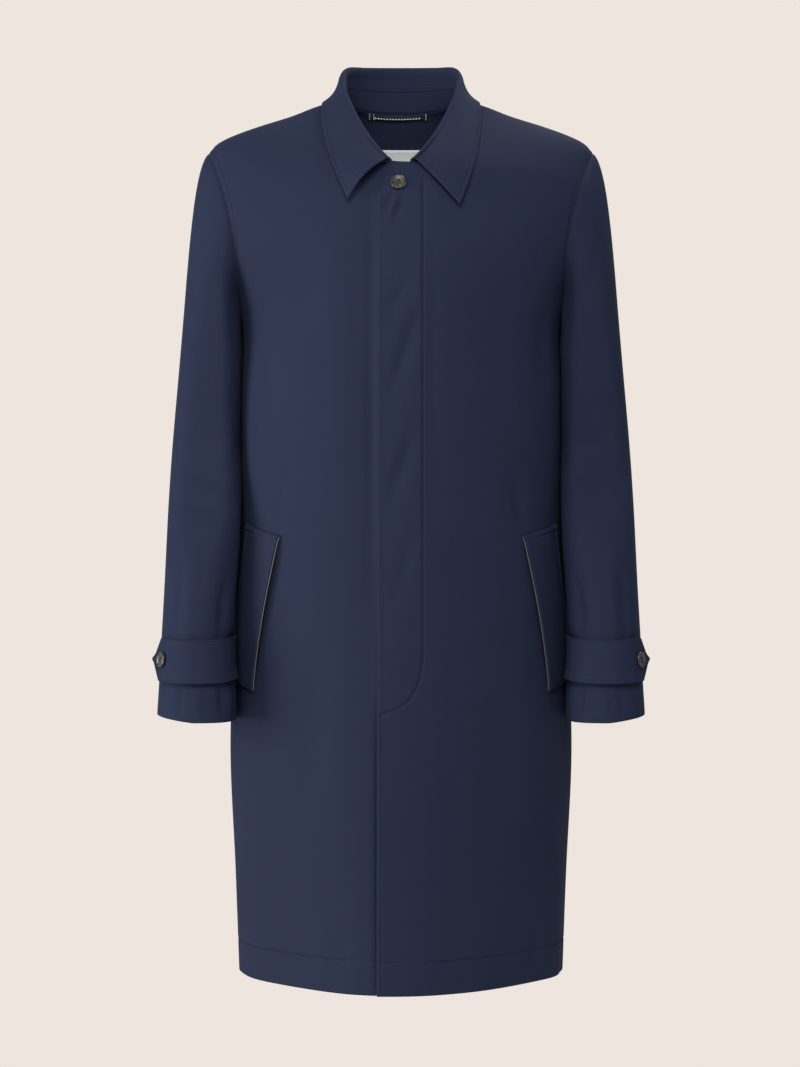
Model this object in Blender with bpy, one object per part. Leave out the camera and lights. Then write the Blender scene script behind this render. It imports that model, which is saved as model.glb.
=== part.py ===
"""A single-breasted car coat with a fly front, as it hangs on a wearer, with nobody inside.

Units are metres, +Z is up and the coat faces -Y, so the wearer's left side is +X.
The origin is midway between the two points where the shoulder seams meet the neckline.
Every cloth piece is an open surface, worked out from the sizes below, that is given a wall.
"""

import math

import bmesh
import bpy
import numpy as np
from mathutils import Matrix, Vector
from mathutils.bvhtree import BVHTree

# Cloth and seams
CLOTH = 0.0020
SEAM_GAP = 0.0003
REST_GAP = 0.0005
STRAP_CLOTH = 0.0012
WELT_CLOTH = 0.0014
MITRE_LIMIT = 0.45

# Lengths down the coat, from the shoulder points
HEM_Z = -1.013
UNDERARM_Z = -0.262
NECK_FRONT_Z = -0.093
NECK_BACK_Z = -0.004

# The neckline, the shoulder tip and the armhole, as seen from the front
NECK_HALF_WIDTH = 0.068
SHOULDER_TIP_X = 0.2235
SHOULDER_TIP_Z = -0.0640
SIDE_Y = 0.008
ARMHOLE_FRONT_HOLLOW = 2.5
ARMHOLE_BACK_HOLLOW = 1.5

# The fly front: the left front laps over the right one
FLY_EDGE_X = 0.026
FLY_EDGE_AT_NECK_X = 0.0155
FLY_CURVE_Z = -0.135
LAP_OFFSET = 0.0015
LAP_FULL_X = 0.030
LAP_END_X = 0.064

# How many cells each panel is divided into
TRUNK_ROWS = 12
YOKE_ROWS = 14
PANEL_COLUMNS = 11
LAP_COLUMNS = 3
NECK_ROW = 7
BACK_NECK_ROW = 8
NECK_EASE = 1.3
COLLAR_FIRST_ROW = 1

# The body: a row for each level, with its half width, its depth at centre front and back from the
# side seams' plane, and how pointed its plan is at the front. Above the underarm the half width is
# that of the shoulders, so that the shoulder seam lies where the half width is reached.
BODY_COLUMNS = ("z", "half_width", "front", "back", "pointing")
BODY = (
    (-1.013, 0.1885, 0.151, 0.142, 1.40),
    (-0.900, 0.1925, 0.150, 0.139, 1.30),
    (-0.745, 0.1985, 0.149, 0.135, 1.18),
    (-0.680, 0.1968, 0.148, 0.132, 1.12),
    (-0.590, 0.1925, 0.148, 0.128, 1.06),
    (-0.520, 0.1877, 0.148, 0.124, 1.04),
    (-0.450, 0.1848, 0.148, 0.121, 1.02),
    (-0.340, 0.1862, 0.149, 0.123, 1.02),
    (-0.262, 0.1850, 0.147, 0.127, 1.02),
    (-0.250, 0.1872, 0.1458, 0.127, 1.01),
    (-0.235, 0.1915, 0.1438, 0.127, 1.00),
    (-0.215, 0.2005, 0.1408, 0.1268, 1.00),
    (-0.190, 0.2145, 0.136, 0.126, 1.00),
    (-0.150, 0.2325, 0.125, 0.121, 1.00),
    (-0.110, 0.2350, 0.109, 0.114, 1.00),
    (-0.093, 0.2310, 0.0985, 0.110, 1.00),
    (-0.080, 0.2285, 0.0865, 0.106, 1.00),
    (-0.0640, 0.2235, 0.0700, 0.100, 1.00),
    (-0.0500, 0.2080, 0.0555, 0.095, 1.00),
    (-0.0415, 0.1890, 0.0465, 0.091, 1.00),
    (-0.0327, 0.1643, 0.0375, 0.087, 1.00),
    (-0.0220, 0.1310, 0.0265, 0.082, 1.00),
    (-0.0070, 0.0921, 0.0135, 0.075, 1.00),
    (0.0000, 0.0680, 0.0080, 0.072, 1.00),
)
BACK_POINTING = 0.35

# Soft folds of the skirt: a row for each, by its angle from centre front towards the wearer's left
FOLD_COLUMNS = ("angle_deg", "spread_deg", "top_z", "depth")
FOLDS = (
    (-62.0, 11.0, -0.62, 0.0030),
    (-38.0, 14.0, -0.70, -0.0025),
    (40.0, 15.0, -0.66, -0.0025),
    (66.0, 9.0, -0.72, 0.0040),
    (80.0, 7.0, -0.78, -0.0035),
    (118.0, 13.0, -0.60, 0.0040),
    (148.0, 15.0, -0.52, -0.0035),
    (180.0, 14.0, -0.50, 0.0040),
    (-150.0, 14.0, -0.54, -0.0035),
    (-120.0, 13.0, -0.62, 0.0035),
)

# The sleeve below its cap: a row for each level, with the tube's centre and half sizes
SLEEVE_COLUMNS = ("z", "centre_x", "centre_y", "half_width", "half_depth")
SLEEVE = (
    (-0.310, 0.2217, 0.022, 0.0350, 0.0750),
    (-0.420, 0.2262, 0.025, 0.0406, 0.0690),
    (-0.500, 0.2271, -0.012, 0.0412, 0.0645),
    (-0.620, 0.2322, -0.046, 0.0424, 0.0595),
    (-0.716, 0.2312, -0.060, 0.0447, 0.0580),
)
CAP_ROWS = 8
ARM_ROWS = 9

# The collar: a row for each station round the neckline, from centre back to the front end,
# with the roll line's place and the fall's free edge
COLLAR_COLUMNS = ("turn", "roll_x", "roll_y", "roll_z", "edge_x", "edge_y", "edge_z", "bulge")
COLLAR = (
    (1.000, 0.0000, 0.0740, 0.0507, 0.0000, 0.0960, -0.0180, 0.004),
    (0.800, 0.0385, 0.0630, 0.0484, 0.0520, 0.0860, -0.0180, 0.002),
    (0.650, 0.0595, 0.0410, 0.0432, 0.0790, 0.0520, -0.0120, -0.001),
    (0.500, 0.0620, 0.0150, 0.0200, 0.0905, 0.0080, -0.0045, -0.002),
    (0.350, 0.0545, -0.0140, -0.0075, 0.0905, -0.0330, -0.0370, 0.000),
    (0.250, 0.0410, -0.0440, -0.0385, 0.0840, -0.0650, -0.0700, 0.003),
    (0.135, 0.0235, -0.0760, -0.0690, 0.0715, -0.0990, -0.1060, 0.004),
    (0.0487, 0.0120, -0.0915, -0.0840, 0.0585, -0.1160, -0.1360, 0.004),
)
STAND_SHARE = 0.45
ROLL_RADIUS = 0.0030
ROLL_RADIUS_AT_FRONT = 0.0012
FALL_POINTS = 6
FALL_CLEAR = 0.0023
LONGER_TIP = Vector((0.007, -0.001, -0.006))

# The welt pockets: the mouth slants towards the side seam as it goes down
WELT_FRONT_TOP_DEG = 46.6
WELT_FRONT_BOTTOM_DEG = 57.4
WELT_WIDTH_DEG = 23.0
WELT_TOP_Z = -0.508
WELT_BOTTOM_Z = -0.685
WELT_BACK_RISE = 0.013
PIPING_RADIUS = 0.0009

# The cuff straps, which pass round the front of the sleeve to a pointed, buttoned end
STRAP_END_Z = -0.6445
STRAP_SAG = 0.0050
STRAP_HALF_HEIGHT = 0.0240
STRAP_START_DEG = 178.0
STRAP_LEAVES_DEG = 40.0
STRAP_TAIL = 0.0260
STRAP_POINT = 0.0165
STRAP_BLUNT = 0.0015

# Buttons
BUTTON_RADIUS = 0.0090
BUTTON_THICK = 0.0032
BUTTON_DISH_RADIUS = 0.0062
BUTTON_DISH_DEPTH = 0.0010
BUTTON_HOLE_RADIUS = 0.0009
BUTTON_HOLE_OFFSET = 0.0017
BUTTON_SIDES = 20
NECK_BUTTON_X = -0.003
NECK_BUTTON_Z = -0.116
STRAP_BUTTON_FROM_TIP = 0.0185

# What is sewn inside the back neck
LOOP_HALF_LENGTH = 0.0265
LOOP_SHIFT_X = -0.0042
LOOP_Z = -0.0096
LOOP_HALF_HEIGHT = 0.0024
LOOP_SAG = 0.0012
LOOP_THICK = 0.0014
LOOP_STAND_OFF = 0.0012
LOOP_STATIONS = 14
TAB_HALF_WIDTH = 0.0046
TAB_HALF_HEIGHT = 0.0034
TAB_THICK = 0.0012
LABEL_HALF_WIDTH = 0.035
LABEL_TOP_Z = -0.0445
LABEL_BOTTOM_Z = -0.088
LABEL_THICK = 0.0010

# Colours, linear RGB, with roughness
FINISHES = {
    "navy_cloth": ((0.026, 0.031, 0.060), 0.75),
    "horn": ((0.085, 0.066, 0.040), 0.35),
    "beige_piping": ((0.230, 0.185, 0.120), 0.70),
    "black_tape": ((0.012, 0.012, 0.015), 0.60),
    "white_label": ((0.620, 0.640, 0.610), 0.80),
}


# Curves through tables


class Table:
    """Rows of named columns, read between the rows along a smooth curve by the first column."""

    def __init__(self, columns, rows):
        rows = np.array(sorted(rows), float)
        self.columns, self.knots, self.values = columns, rows[:, 0], rows
        self.slopes = np.gradient(rows, self.knots, axis=0)

    def at(self, place):
        k = int(np.clip(np.searchsorted(self.knots, place) - 1, 0, len(self.knots) - 2))
        span = self.knots[k + 1] - self.knots[k]
        t = min(max((place - self.knots[k]) / span, 0.0), 1.0)
        low = (1 + 2 * t) * (1 - t) ** 2 * self.values[k] + t * (1 - t) ** 2 * span * self.slopes[k]
        high = t * t * (3 - 2 * t) * self.values[k + 1] - t * t * (1 - t) * span * self.slopes[k + 1]
        return dict(zip(self.columns, low + high))


body_table = Table(BODY_COLUMNS, BODY)
sleeve_table = Table(SLEEVE_COLUMNS, SLEEVE)
collar_table = Table(COLLAR_COLUMNS, COLLAR)


def ease(t):
    """Runs smoothly from 0 to 1 as t does."""
    t = min(max(t, 0.0), 1.0)
    return t * t * (3 - 2 * t)


def mix(a, b, share):
    return a + (b - a) * share


# The body's surface


def fold_height(angle_deg, z):
    """How far the skirt's soft folds stand out at an angle from centre front."""
    height = 0.0
    for row in FOLDS:
        fold = dict(zip(FOLD_COLUMNS, row))
        away = (angle_deg - fold["angle_deg"] + 180) % 360 - 180
        share = ease((fold["top_z"] - z) / (fold["top_z"] - HEM_Z))
        height += fold["depth"] * share * math.exp(-((away / fold["spread_deg"]) ** 2))
    return height


def body_depth(face, x, z):
    """The depth y of the body's front or back at a place seen from the front."""
    level = body_table.at(z)
    inside = max(1 - (x / level["half_width"]) ** 2, 0.0)
    if face == "front":
        return SIDE_Y - level["front"] * inside ** (level["pointing"] / 2)
    return SIDE_Y + level["back"] * inside ** (mix(1.0, level["pointing"], BACK_POINTING) / 2)


def trunk_point(face, s, z, side=1):
    """A point below the underarm. s is 0 at the centre line and 1 at the side seam."""
    turn = s * math.pi / 2
    x = body_table.at(z)["half_width"] * math.sin(turn)
    angle = math.degrees(turn) if face == "front" else 180 - math.degrees(turn)
    out = fold_height(side * angle, z)
    forward = math.cos(turn) * (-1 if face == "front" else 1)
    return Vector((side * (x + out * math.sin(turn)), body_depth(face, x, z) + out * forward, z))


def neckline_point(turn):
    """A point of the neckline. turn is 0 at centre front, 0.5 at the left shoulder and 1 at the back."""
    angle = math.pi * turn
    forward = math.cos(angle)
    x = NECK_HALF_WIDTH * math.sin(angle)
    z = (NECK_FRONT_Z if forward > 0 else NECK_BACK_Z) * abs(forward)
    return Vector((x, body_depth("front" if forward > 0 else "back", x, z), z))


def shoulder_z(x):
    """The height of the shoulder seam, where the shoulders' half width is x."""
    low, high = SHOULDER_TIP_Z, 0.0
    for _ in range(40):
        middle = (low + high) / 2
        wide = body_table.at(middle)["half_width"] > x
        low, high = (middle, high) if wide else (low, middle)
    return (low + high) / 2


def lapped(point, side):
    """Moves a front's points near the centre forward on the left and back on the right, so they overlap."""
    if point.y > 0:
        return point
    share = 1 - ease((abs(point.x) - LAP_FULL_X) / (LAP_END_X - LAP_FULL_X))
    return point + Vector((0, -LAP_OFFSET * side * share, 0))


def armhole_angle(rise):
    """The angle round the armhole, from pi at the underarm (rise 0) to 0 at the shoulder tip (rise 1)."""
    return math.pi * (1 - rise ** 1.1)


def armhole_point(face, rise):
    """A point of the left armhole's front or back half."""
    high = (1 + math.cos(armhole_angle(rise))) / 2
    hollow = ARMHOLE_FRONT_HOLLOW if face == "front" else ARMHOLE_BACK_HOLLOW
    z = mix(UNDERARM_Z, SHOULDER_TIP_Z, high)
    x = mix(body_table.at(UNDERARM_Z)["half_width"], SHOULDER_TIP_X, high ** hollow)
    return Vector((x, body_depth(face, x, z), z))


def yoke_point(face, s, rise):
    """A point between the underarm level (rise 0) and the shoulder seam (rise 1), on the left."""
    neck_rise = (NECK_ROW if face == "front" else BACK_NECK_ROW) / YOKE_ROWS
    neck_z = NECK_FRONT_Z if face == "front" else NECK_BACK_Z
    if rise <= neck_rise:
        inner_x, inner_z = 0.0, mix(UNDERARM_Z, neck_z, 1 - (1 - rise / neck_rise) ** NECK_EASE)
    else:
        past = (rise - neck_rise) / (1 - neck_rise)
        inner = neckline_point(mix(0.0 if face == "front" else 1.0, 0.5, past ** NECK_EASE))
        inner_x, inner_z = inner.x, inner.z
    outer = armhole_point(face, rise)
    straight = ease(rise)
    across = math.copysign(mix(math.sin(abs(s) * math.pi / 2), abs(s), straight), s)
    x = inner_x + (outer.x - inner_x) * across
    seam_x = mix(NECK_HALF_WIDTH, SHOULDER_TIP_X, abs(s))
    level = mix(inner_z, outer.z, s * s)
    parallel = shoulder_z(seam_x) + mix(inner_z, outer.z - SHOULDER_TIP_Z, abs(s))
    z = mix(level, parallel, ease((rise - neck_rise) / (1 - neck_rise)))
    if rise == 1.0:
        return Vector((seam_x, SIDE_Y, z))
    return Vector((x, body_depth(face, x, z), z))


def panel_rows():
    """The levels of a panel's rows, from hem to shoulder: ('trunk', z) and then ('yoke', rise)."""
    low = [("trunk", mix(HEM_Z, UNDERARM_Z, n / TRUNK_ROWS)) for n in range(TRUNK_ROWS)]
    return low + [("yoke", n / YOKE_ROWS) for n in range(YOKE_ROWS + 1)]


def panel_point(face, s, level, side):
    kind, at = level
    if kind == "trunk":
        return trunk_point(face, s, at, side)
    point = yoke_point(face, s, at)
    return Vector((side * point.x, point.y, point.z))


def fly_edge_x(z):
    """How far a front reaches past the centre line, less towards the neck."""
    share = ease((z - FLY_CURVE_Z) / (NECK_FRONT_Z - FLY_CURVE_Z))
    return mix(FLY_EDGE_X, FLY_EDGE_AT_NECK_X, share)


def lap_point(level, share, side):
    """A point of the strip that a front adds past the centre line; share is 1 at its edge."""
    centre = panel_point("front", 0.0, level, side)
    x = fly_edge_x(centre.z) * share
    return Vector((-side * x, body_depth("front", x, centre.z), centre.z))


# Sheets of cloth, and the walls made from them


class Sheet:
    """An open surface of points and four-sided cells, wound so that its cells face outwards."""

    def __init__(self, name, finish, rows, flip=False, closed=False, thick=CLOTH, keep=None):
        self.name, self.finish, self.thick = name, finish, thick
        self.points, self.cells = [], []
        index = {}

        def place(i, j):
            if (i, j) not in index:
                index[i, j] = len(self.points)
                self.points.append(np.array(rows[i][j], float))
            return index[i, j]

        columns = len(rows[0])
        for i in range(len(rows) - 1):
            for j in range(columns if closed else columns - 1):
                if keep is None or keep(i, j):
                    right = (j + 1) % columns
                    cell = [place(i, j), place(i, right), place(i + 1, right), place(i + 1, j)]
                    self.cells.append(cell[::-1] if flip else cell)
        self.points = np.array(self.points)
        self.depths = self.point_normals()

    def point_normals(self):
        normals = np.zeros_like(self.points)
        for cell in self.cells:
            a, b, c, d = self.points[cell]
            normals[cell] += np.cross(c - a, d - b)
        return normals / np.linalg.norm(normals, axis=1)[:, None]

    def rim(self):
        """The edges with a cell on one side only, in the order that their cell runs."""
        uses = {}
        for cell in self.cells:
            for a, b in zip(cell, cell[1:] + cell[:1]):
                uses[a, b] = True
        return [(a, b) for a, b in uses if (b, a) not in uses]

    def inset(self):
        """How each point of the rim moves along the cloth, to leave half of a seam's gap."""
        beside = {}
        rim = set(self.rim())
        for cell in self.cells:
            a, b, c, d = self.points[cell]
            facing = np.cross(c - a, d - b)
            for start, end in zip(cell, cell[1:] + cell[:1]):
                if (start, end) in rim:
                    along = self.points[end] - self.points[start]
                    inward = np.cross(facing, along)
                    inward /= np.linalg.norm(inward)
                    for n in (start, end):
                        mitre = np.cross(self.depths[n], along)
                        mitre /= np.linalg.norm(mitre)
                        distance = SEAM_GAP / 2 / max(abs(inward @ mitre), 0.2)
                        beside.setdefault(n, []).append((inward, distance))
        moves = np.zeros_like(self.points)
        for n, ((one, near), (two, far)) in beside.items():
            turn = one @ two
            if turn > 0.9:
                moves[n] = (one + two) / 2 * (near + far) / 2
            else:
                moves[n] = (one * (near - turn * far) + two * (far - turn * near)) / (1 - turn * turn)
        return moves

    def wall(self):
        """The points and the faces of the closed wall: its outer side, its inner side and its rim."""
        moves = self.inset()
        outer = self.points + moves
        inner = outer - self.depths * self.thick
        count = len(outer)
        faces = [list(cell) for cell in self.cells]
        faces += [[n + count for n in reversed(cell)] for cell in self.cells]
        order = self.points @ np.array((1.0, 2.3, 3.7))
        for a, b in self.rim():
            if order[a] < order[b]:
                faces += [[b, a, b + count], [a, a + count, b + count]]
            else:
                faces += [[b, a, a + count], [b, a + count, b + count]]
        return np.concatenate([outer, inner]), faces


def share_seams(sheets):
    """Gives points that sheets have in common one inward direction, so their walls meet at a mitre."""
    found = {}
    for sheet in sheets:
        for n, point in enumerate(sheet.points):
            found.setdefault(tuple(np.round(point, 6)), []).append((sheet, n))
    for places in found.values():
        if len(places) > 1:
            own = np.array([sheet.depths[n] for sheet, n in places])
            one, two = np.unravel_index(np.argmin(own @ own.T), (len(own), len(own)))
            mean = own[one] + own[two]
            mean /= np.linalg.norm(mean)
            for sheet, n in places:
                sheet.depths[n] = mean / max(own[one] @ mean, MITRE_LIMIT)


def sheet_tree(sheets):
    """The sheets' cells, to be searched for the nearest place or along a line."""
    points, cells = [], []
    for sheet in sheets:
        cells += [[n + len(points) for n in cell] for cell in sheet.cells]
        points += [Vector(p) for p in sheet.points]
    return BVHTree.FromPolygons(points, cells)


def finish_material(name):
    material = bpy.data.materials.get(name)
    if material is None:
        colour, roughness = FINISHES[name]
        material = bpy.data.materials.new(name)
        material.use_nodes = True
        shader = material.node_tree.nodes["Principled BSDF"]
        shader.inputs["Base Color"].default_value = (*colour, 1.0)
        shader.inputs["Roughness"].default_value = roughness
    return material


def add_object(name, finish, mesh):
    mesh.materials.append(finish_material(finish))
    mesh.shade_smooth()
    mesh.set_sharp_from_angle(angle=math.radians(50))
    piece = bpy.data.objects.new(name, mesh)
    bpy.context.scene.collection.objects.link(piece)
    return piece


def add_wall(sheet):
    points, faces = sheet.wall()
    mesh = bpy.data.meshes.new(sheet.name)
    mesh.from_pydata([tuple(p) for p in points], [], faces)
    mesh.validate()
    return add_object(sheet.name, sheet.finish, mesh)


def surface_normal(surface, a, b, hint, step=1e-4):
    """The unit normal of surface(a, b) on the side of the hint."""
    across = surface(a + step, b) - surface(a - step, b)
    up = surface(a, b + step) - surface(a, b - step)
    normal = across.cross(up).normalized()
    return normal if normal.dot(hint) > 0 else -normal


# Body panels


def front_sheet(name, side):
    """One front: the strip past the centre line, then the panel out to the side seam and armhole."""
    levels = panel_rows()
    rows = []
    for level in levels:
        strip = [lap_point(level, 1 - n / LAP_COLUMNS, side) for n in range(LAP_COLUMNS)]
        main = [panel_point("front", n / PANEL_COLUMNS, level, side) for n in range(PANEL_COLUMNS + 1)]
        rows.append([lapped(p, side) for p in strip + main])
    neck_row = TRUNK_ROWS + NECK_ROW - (side < 0)
    return Sheet(
        name, "navy_cloth", rows, flip=side < 0,
        keep=lambda i, j: j >= LAP_COLUMNS or i < neck_row,
    )


def back_sheet():
    """The back, cut in one from side seam to side seam; above the back neck its halves part."""
    halves = {}
    for side in (1, -1):
        halves[side] = [
            [panel_point("back", n / PANEL_COLUMNS, level, side) for n in range(PANEL_COLUMNS + 1)]
            for level in panel_rows()
        ]
    left = Sheet("back", "navy_cloth", halves[1], flip=True)
    right = Sheet("back", "navy_cloth", halves[-1])
    return joined("back", [left, right])


def joined(name, sheets):
    """Several sheets as one, with the points that they have in common made one."""
    whole = sheets[0]
    index = {tuple(np.round(p, 7)): n for n, p in enumerate(whole.points)}
    points = list(whole.points)
    for sheet in sheets[1:]:
        places = []
        for p in sheet.points:
            key = tuple(np.round(p, 7))
            if key not in index:
                index[key] = len(points)
                points.append(p)
            places.append(index[key])
        whole.cells += [[places[n] for n in cell] for cell in sheet.cells]
    whole.name = name
    whole.points = np.array(points)
    whole.depths = whole.point_normals()
    return whole


# Sleeves


def arm_point(angle, z):
    """A point of the left sleeve's tube. angle is 0 on the outside and pi / 2 at the front."""
    level = sleeve_table.at(z)
    return Vector((
        level["centre_x"] + level["half_width"] * math.cos(angle),
        level["centre_y"] - level["half_depth"] * math.sin(angle),
        z,
    ))


def cap_point(start, angle, t):
    """A point of the sleeve's cap, on a curve from the armhole (t 0) to the top of the arm (t 1)."""
    arm_top = SLEEVE[0][0]
    end = arm_point(angle, arm_top)
    sine, cosine = math.sin(angle), math.cos(angle)
    leave = Vector((
        0.60 + 0.25 * sine * sine + 0.12 * cosine,
        -0.25 * sine,
        -(0.80 - 0.35 * sine * sine - 0.11 * cosine),
    )).normalized() * (0.052 + 0.026 * cosine)
    step = 0.005
    down = (arm_point(angle, arm_top - step) - end).normalized()
    arrive = down * (end - start).length * (1.2 + 0.3 * max(cosine, 0.0))
    low = start * ((1 + 2 * t) * (1 - t) ** 2) + leave * (t * (1 - t) ** 2)
    return low + end * (t * t * (3 - 2 * t)) - arrive * (t * t * (1 - t))


def sleeve_ring():
    """The armhole's points in order from the shoulder tip round by the front, with their angles."""
    rises = [n / YOKE_ROWS for n in range(YOKE_ROWS + 1)]
    front = [(armhole_point("front", rise), armhole_angle(rise)) for rise in reversed(rises)]
    back = [(armhole_point("back", rise), 2 * math.pi - armhole_angle(rise)) for rise in rises[1:-1]]
    return front + back


def sleeve_sheet(name, side):
    ring = sleeve_ring()
    rows = [[cap_point(start, angle, n / CAP_ROWS) for start, angle in ring] for n in range(CAP_ROWS)]
    arm_top, cuff = SLEEVE[0][0], SLEEVE[-1][0]
    for n in range(ARM_ROWS + 1):
        z = mix(arm_top, cuff, n / ARM_ROWS)
        rows.append([arm_point(angle, z) for _, angle in ring])
    rows = [[Vector((side * p.x, p.y, p.z)) for p in row] for row in rows]
    return Sheet(name, "navy_cloth", rows, flip=side < 0, closed=True)


def strap_middle(angle):
    """The height of the strap's middle line, which sags towards the front of the sleeve."""
    return STRAP_END_Z - STRAP_SAG * math.sin(angle)


def strap_sheet(name, side):
    """A cuff strap: round the front of the sleeve, then straight on to its point."""
    start, leave = math.radians(STRAP_START_DEG), math.radians(STRAP_LEAVES_DEG)
    wrapped = 16
    tail = (0.0, 0.35, 0.70, 1.0)
    heights = (-1.0, -0.5, 0.0, 0.5, 1.0)
    rows = []
    for n in range(wrapped + len(tail) - 1):
        angle = mix(start, leave, min(n / (wrapped - 1), 1.0))
        past = STRAP_TAIL * tail[max(n - wrapped + 1, 0)]
        to_tip = STRAP_TAIL - past
        share = 1.0 if n < wrapped else min(1.0, to_tip / STRAP_POINT)
        half = max(STRAP_HALF_HEIGHT * share, STRAP_BLUNT)
        rows.append([strap_point(angle, past, strap_middle(angle) + half * h, side) for h in heights])
    return Sheet(name, "navy_cloth", rows, flip=side > 0, thick=STRAP_CLOTH)


def strap_point(angle, past, z, side, out=STRAP_CLOTH + REST_GAP):
    """A point of the strap's outer face, past metres on along the tangent from an angle of the sleeve."""
    level = sleeve_table.at(z)
    base = arm_point(angle, z)
    normal = surface_normal(arm_point, angle, z, base - Vector((level["centre_x"], level["centre_y"], z)))
    ahead = (arm_point(angle - 1e-4, z) - base).normalized()
    point = base + normal * out + ahead * past
    return Vector((side * point.x, point.y, point.z))


# Collar


def collar_line(turn):
    """The neckline, roll line, free edge and swell of the collar at a station of the left half."""
    row = collar_table.at(turn)
    roll = Vector((row["roll_x"], row["roll_y"], row["roll_z"]))
    edge = Vector((row["edge_x"], row["edge_y"], row["edge_z"]))
    return neckline_point(turn), roll, edge, row["bulge"]


def collar_turns():
    """The stations round the neckline, the same as the panels' own points where they lie on it."""
    steps = lambda count: [(n / count) ** NECK_EASE for n in range(count + 1)]
    front = [mix(0.0, 0.5, past) for past in steps(YOKE_ROWS - NECK_ROW)]
    back = [mix(1.0, 0.5, past) for past in steps(YOKE_ROWS - BACK_NECK_ROW)]
    return front[COLLAR_FIRST_ROW:] + back[-2::-1]


def collar_section(turn, side):
    """The points of the collar's outer side from the neckline to the free edge, at one station."""
    neck, roll, edge, bulge = collar_line(turn)
    if side > 0:
        edge = edge + LONGER_TIP * (1 - ease(turn / 0.45))
    out = edge - roll
    out.z = 0
    out.normalize()
    seam = neck.lerp(roll, STAND_SHARE) + out * 0.001
    radius = mix(ROLL_RADIUS_AT_FRONT, ROLL_RADIUS, ease(turn / 0.35))
    inside = roll + out * CLOTH - Vector((0, 0, CLOTH + radius))
    top = roll + out * (CLOTH + radius) - Vector((0, 0, CLOTH))
    outside = roll + out * (CLOTH + 2 * radius) - Vector((0, 0, CLOTH + radius))
    fall = []
    for n in range(1, FALL_POINTS + 1):
        t = n / FALL_POINTS
        swell = bulge * math.sin(math.pi * t)
        fall.append(outside.lerp(edge, t) + (out + Vector((0, 0, 0.6))).normalized() * swell)
    stand = [lapped(neck.copy(), side), neck.lerp(seam, 0.5), seam]
    leaf = [seam, seam.lerp(inside, 0.55), inside, top, outside] + fall
    place = lambda p: Vector((side * p.x, p.y, p.z))
    return [place(p) for p in stand], [place(p) for p in leaf]


def lifted_off(point, tree):
    """The point, moved out where it comes too near to the body's panels."""
    place, normal, _, _ = tree.find_nearest(point)
    height = (point - place).dot(normal)
    return point + normal * max(FALL_CLEAR - height, 0.0)


def collar_sheets(body):
    """The collar's stand and its leaf, from the left front end round the back to the right front end."""
    turns = collar_turns()
    stations = [collar_section(t, 1) for t in turns] + [collar_section(t, -1) for t in turns[-2::-1]]
    tree = sheet_tree(body)
    for _, leaf in stations:
        leaf[-FALL_POINTS:] = [lifted_off(p, tree) for p in leaf[-FALL_POINTS:]]
    stand = Sheet("collar_stand", "navy_cloth", [s for s, _ in stations], flip=True)
    leaf = Sheet("collar_leaf", "navy_cloth", [l for _, l in stations], flip=True)
    return stand, leaf


# Pockets


def welt_place(across, down):
    """The angle in degrees and the height of a point of the welt; across is 0 at the mouth's edge."""
    angle = mix(WELT_FRONT_TOP_DEG, WELT_FRONT_BOTTOM_DEG, down) + WELT_WIDTH_DEG * across
    z = mix(WELT_TOP_Z, WELT_BOTTOM_Z, down) + WELT_BACK_RISE * across
    return angle, z


def on_front(angle_deg, z, side, out):
    """A point moved out from a front panel's surface."""
    surface = lambda a, b: trunk_point("front", a / 90.0, b, side)
    base = surface(angle_deg, z)
    normal = surface_normal(surface, angle_deg, z, Vector((base.x, base.y, 0)), step=0.01)
    return base + normal * out


def welt_sheet(name, side):
    rows = []
    for i in range(11):
        places = [welt_place(j / 6, 1 - i / 10) for j in range(7)]
        rows.append([on_front(angle, z, side, WELT_CLOTH + REST_GAP) for angle, z in places])
    return Sheet(name, "navy_cloth", rows, flip=side < 0, thick=WELT_CLOTH)


def tube_along(name, finish, points, radius):
    """A round cord along the points, as a curve with closed ends."""
    curve = bpy.data.curves.new(name, "CURVE")
    curve.dimensions = "3D"
    curve.bevel_depth = radius
    curve.bevel_resolution = 1
    curve.use_fill_caps = True
    spline = curve.splines.new("POLY")
    spline.points.add(len(points) - 1)
    for place, point in zip(spline.points, points):
        place.co = (*point, 1.0)
    curve.materials.append(finish_material(finish))
    piece = bpy.data.objects.new(name, curve)
    bpy.context.scene.collection.objects.link(piece)


def add_piping(name, side):
    """The contrast piping along the welt's free edge."""
    clear_deg = 0.55
    points = []
    for i in range(15):
        angle, z = welt_place(0.0, mix(0.01, 0.99, i / 14))
        points.append(on_front(angle - clear_deg, z, side, REST_GAP + PIPING_RADIUS * 1.3))
    tube_along(name, "beige_piping", points, PIPING_RADIUS)


# Buttons


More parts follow.
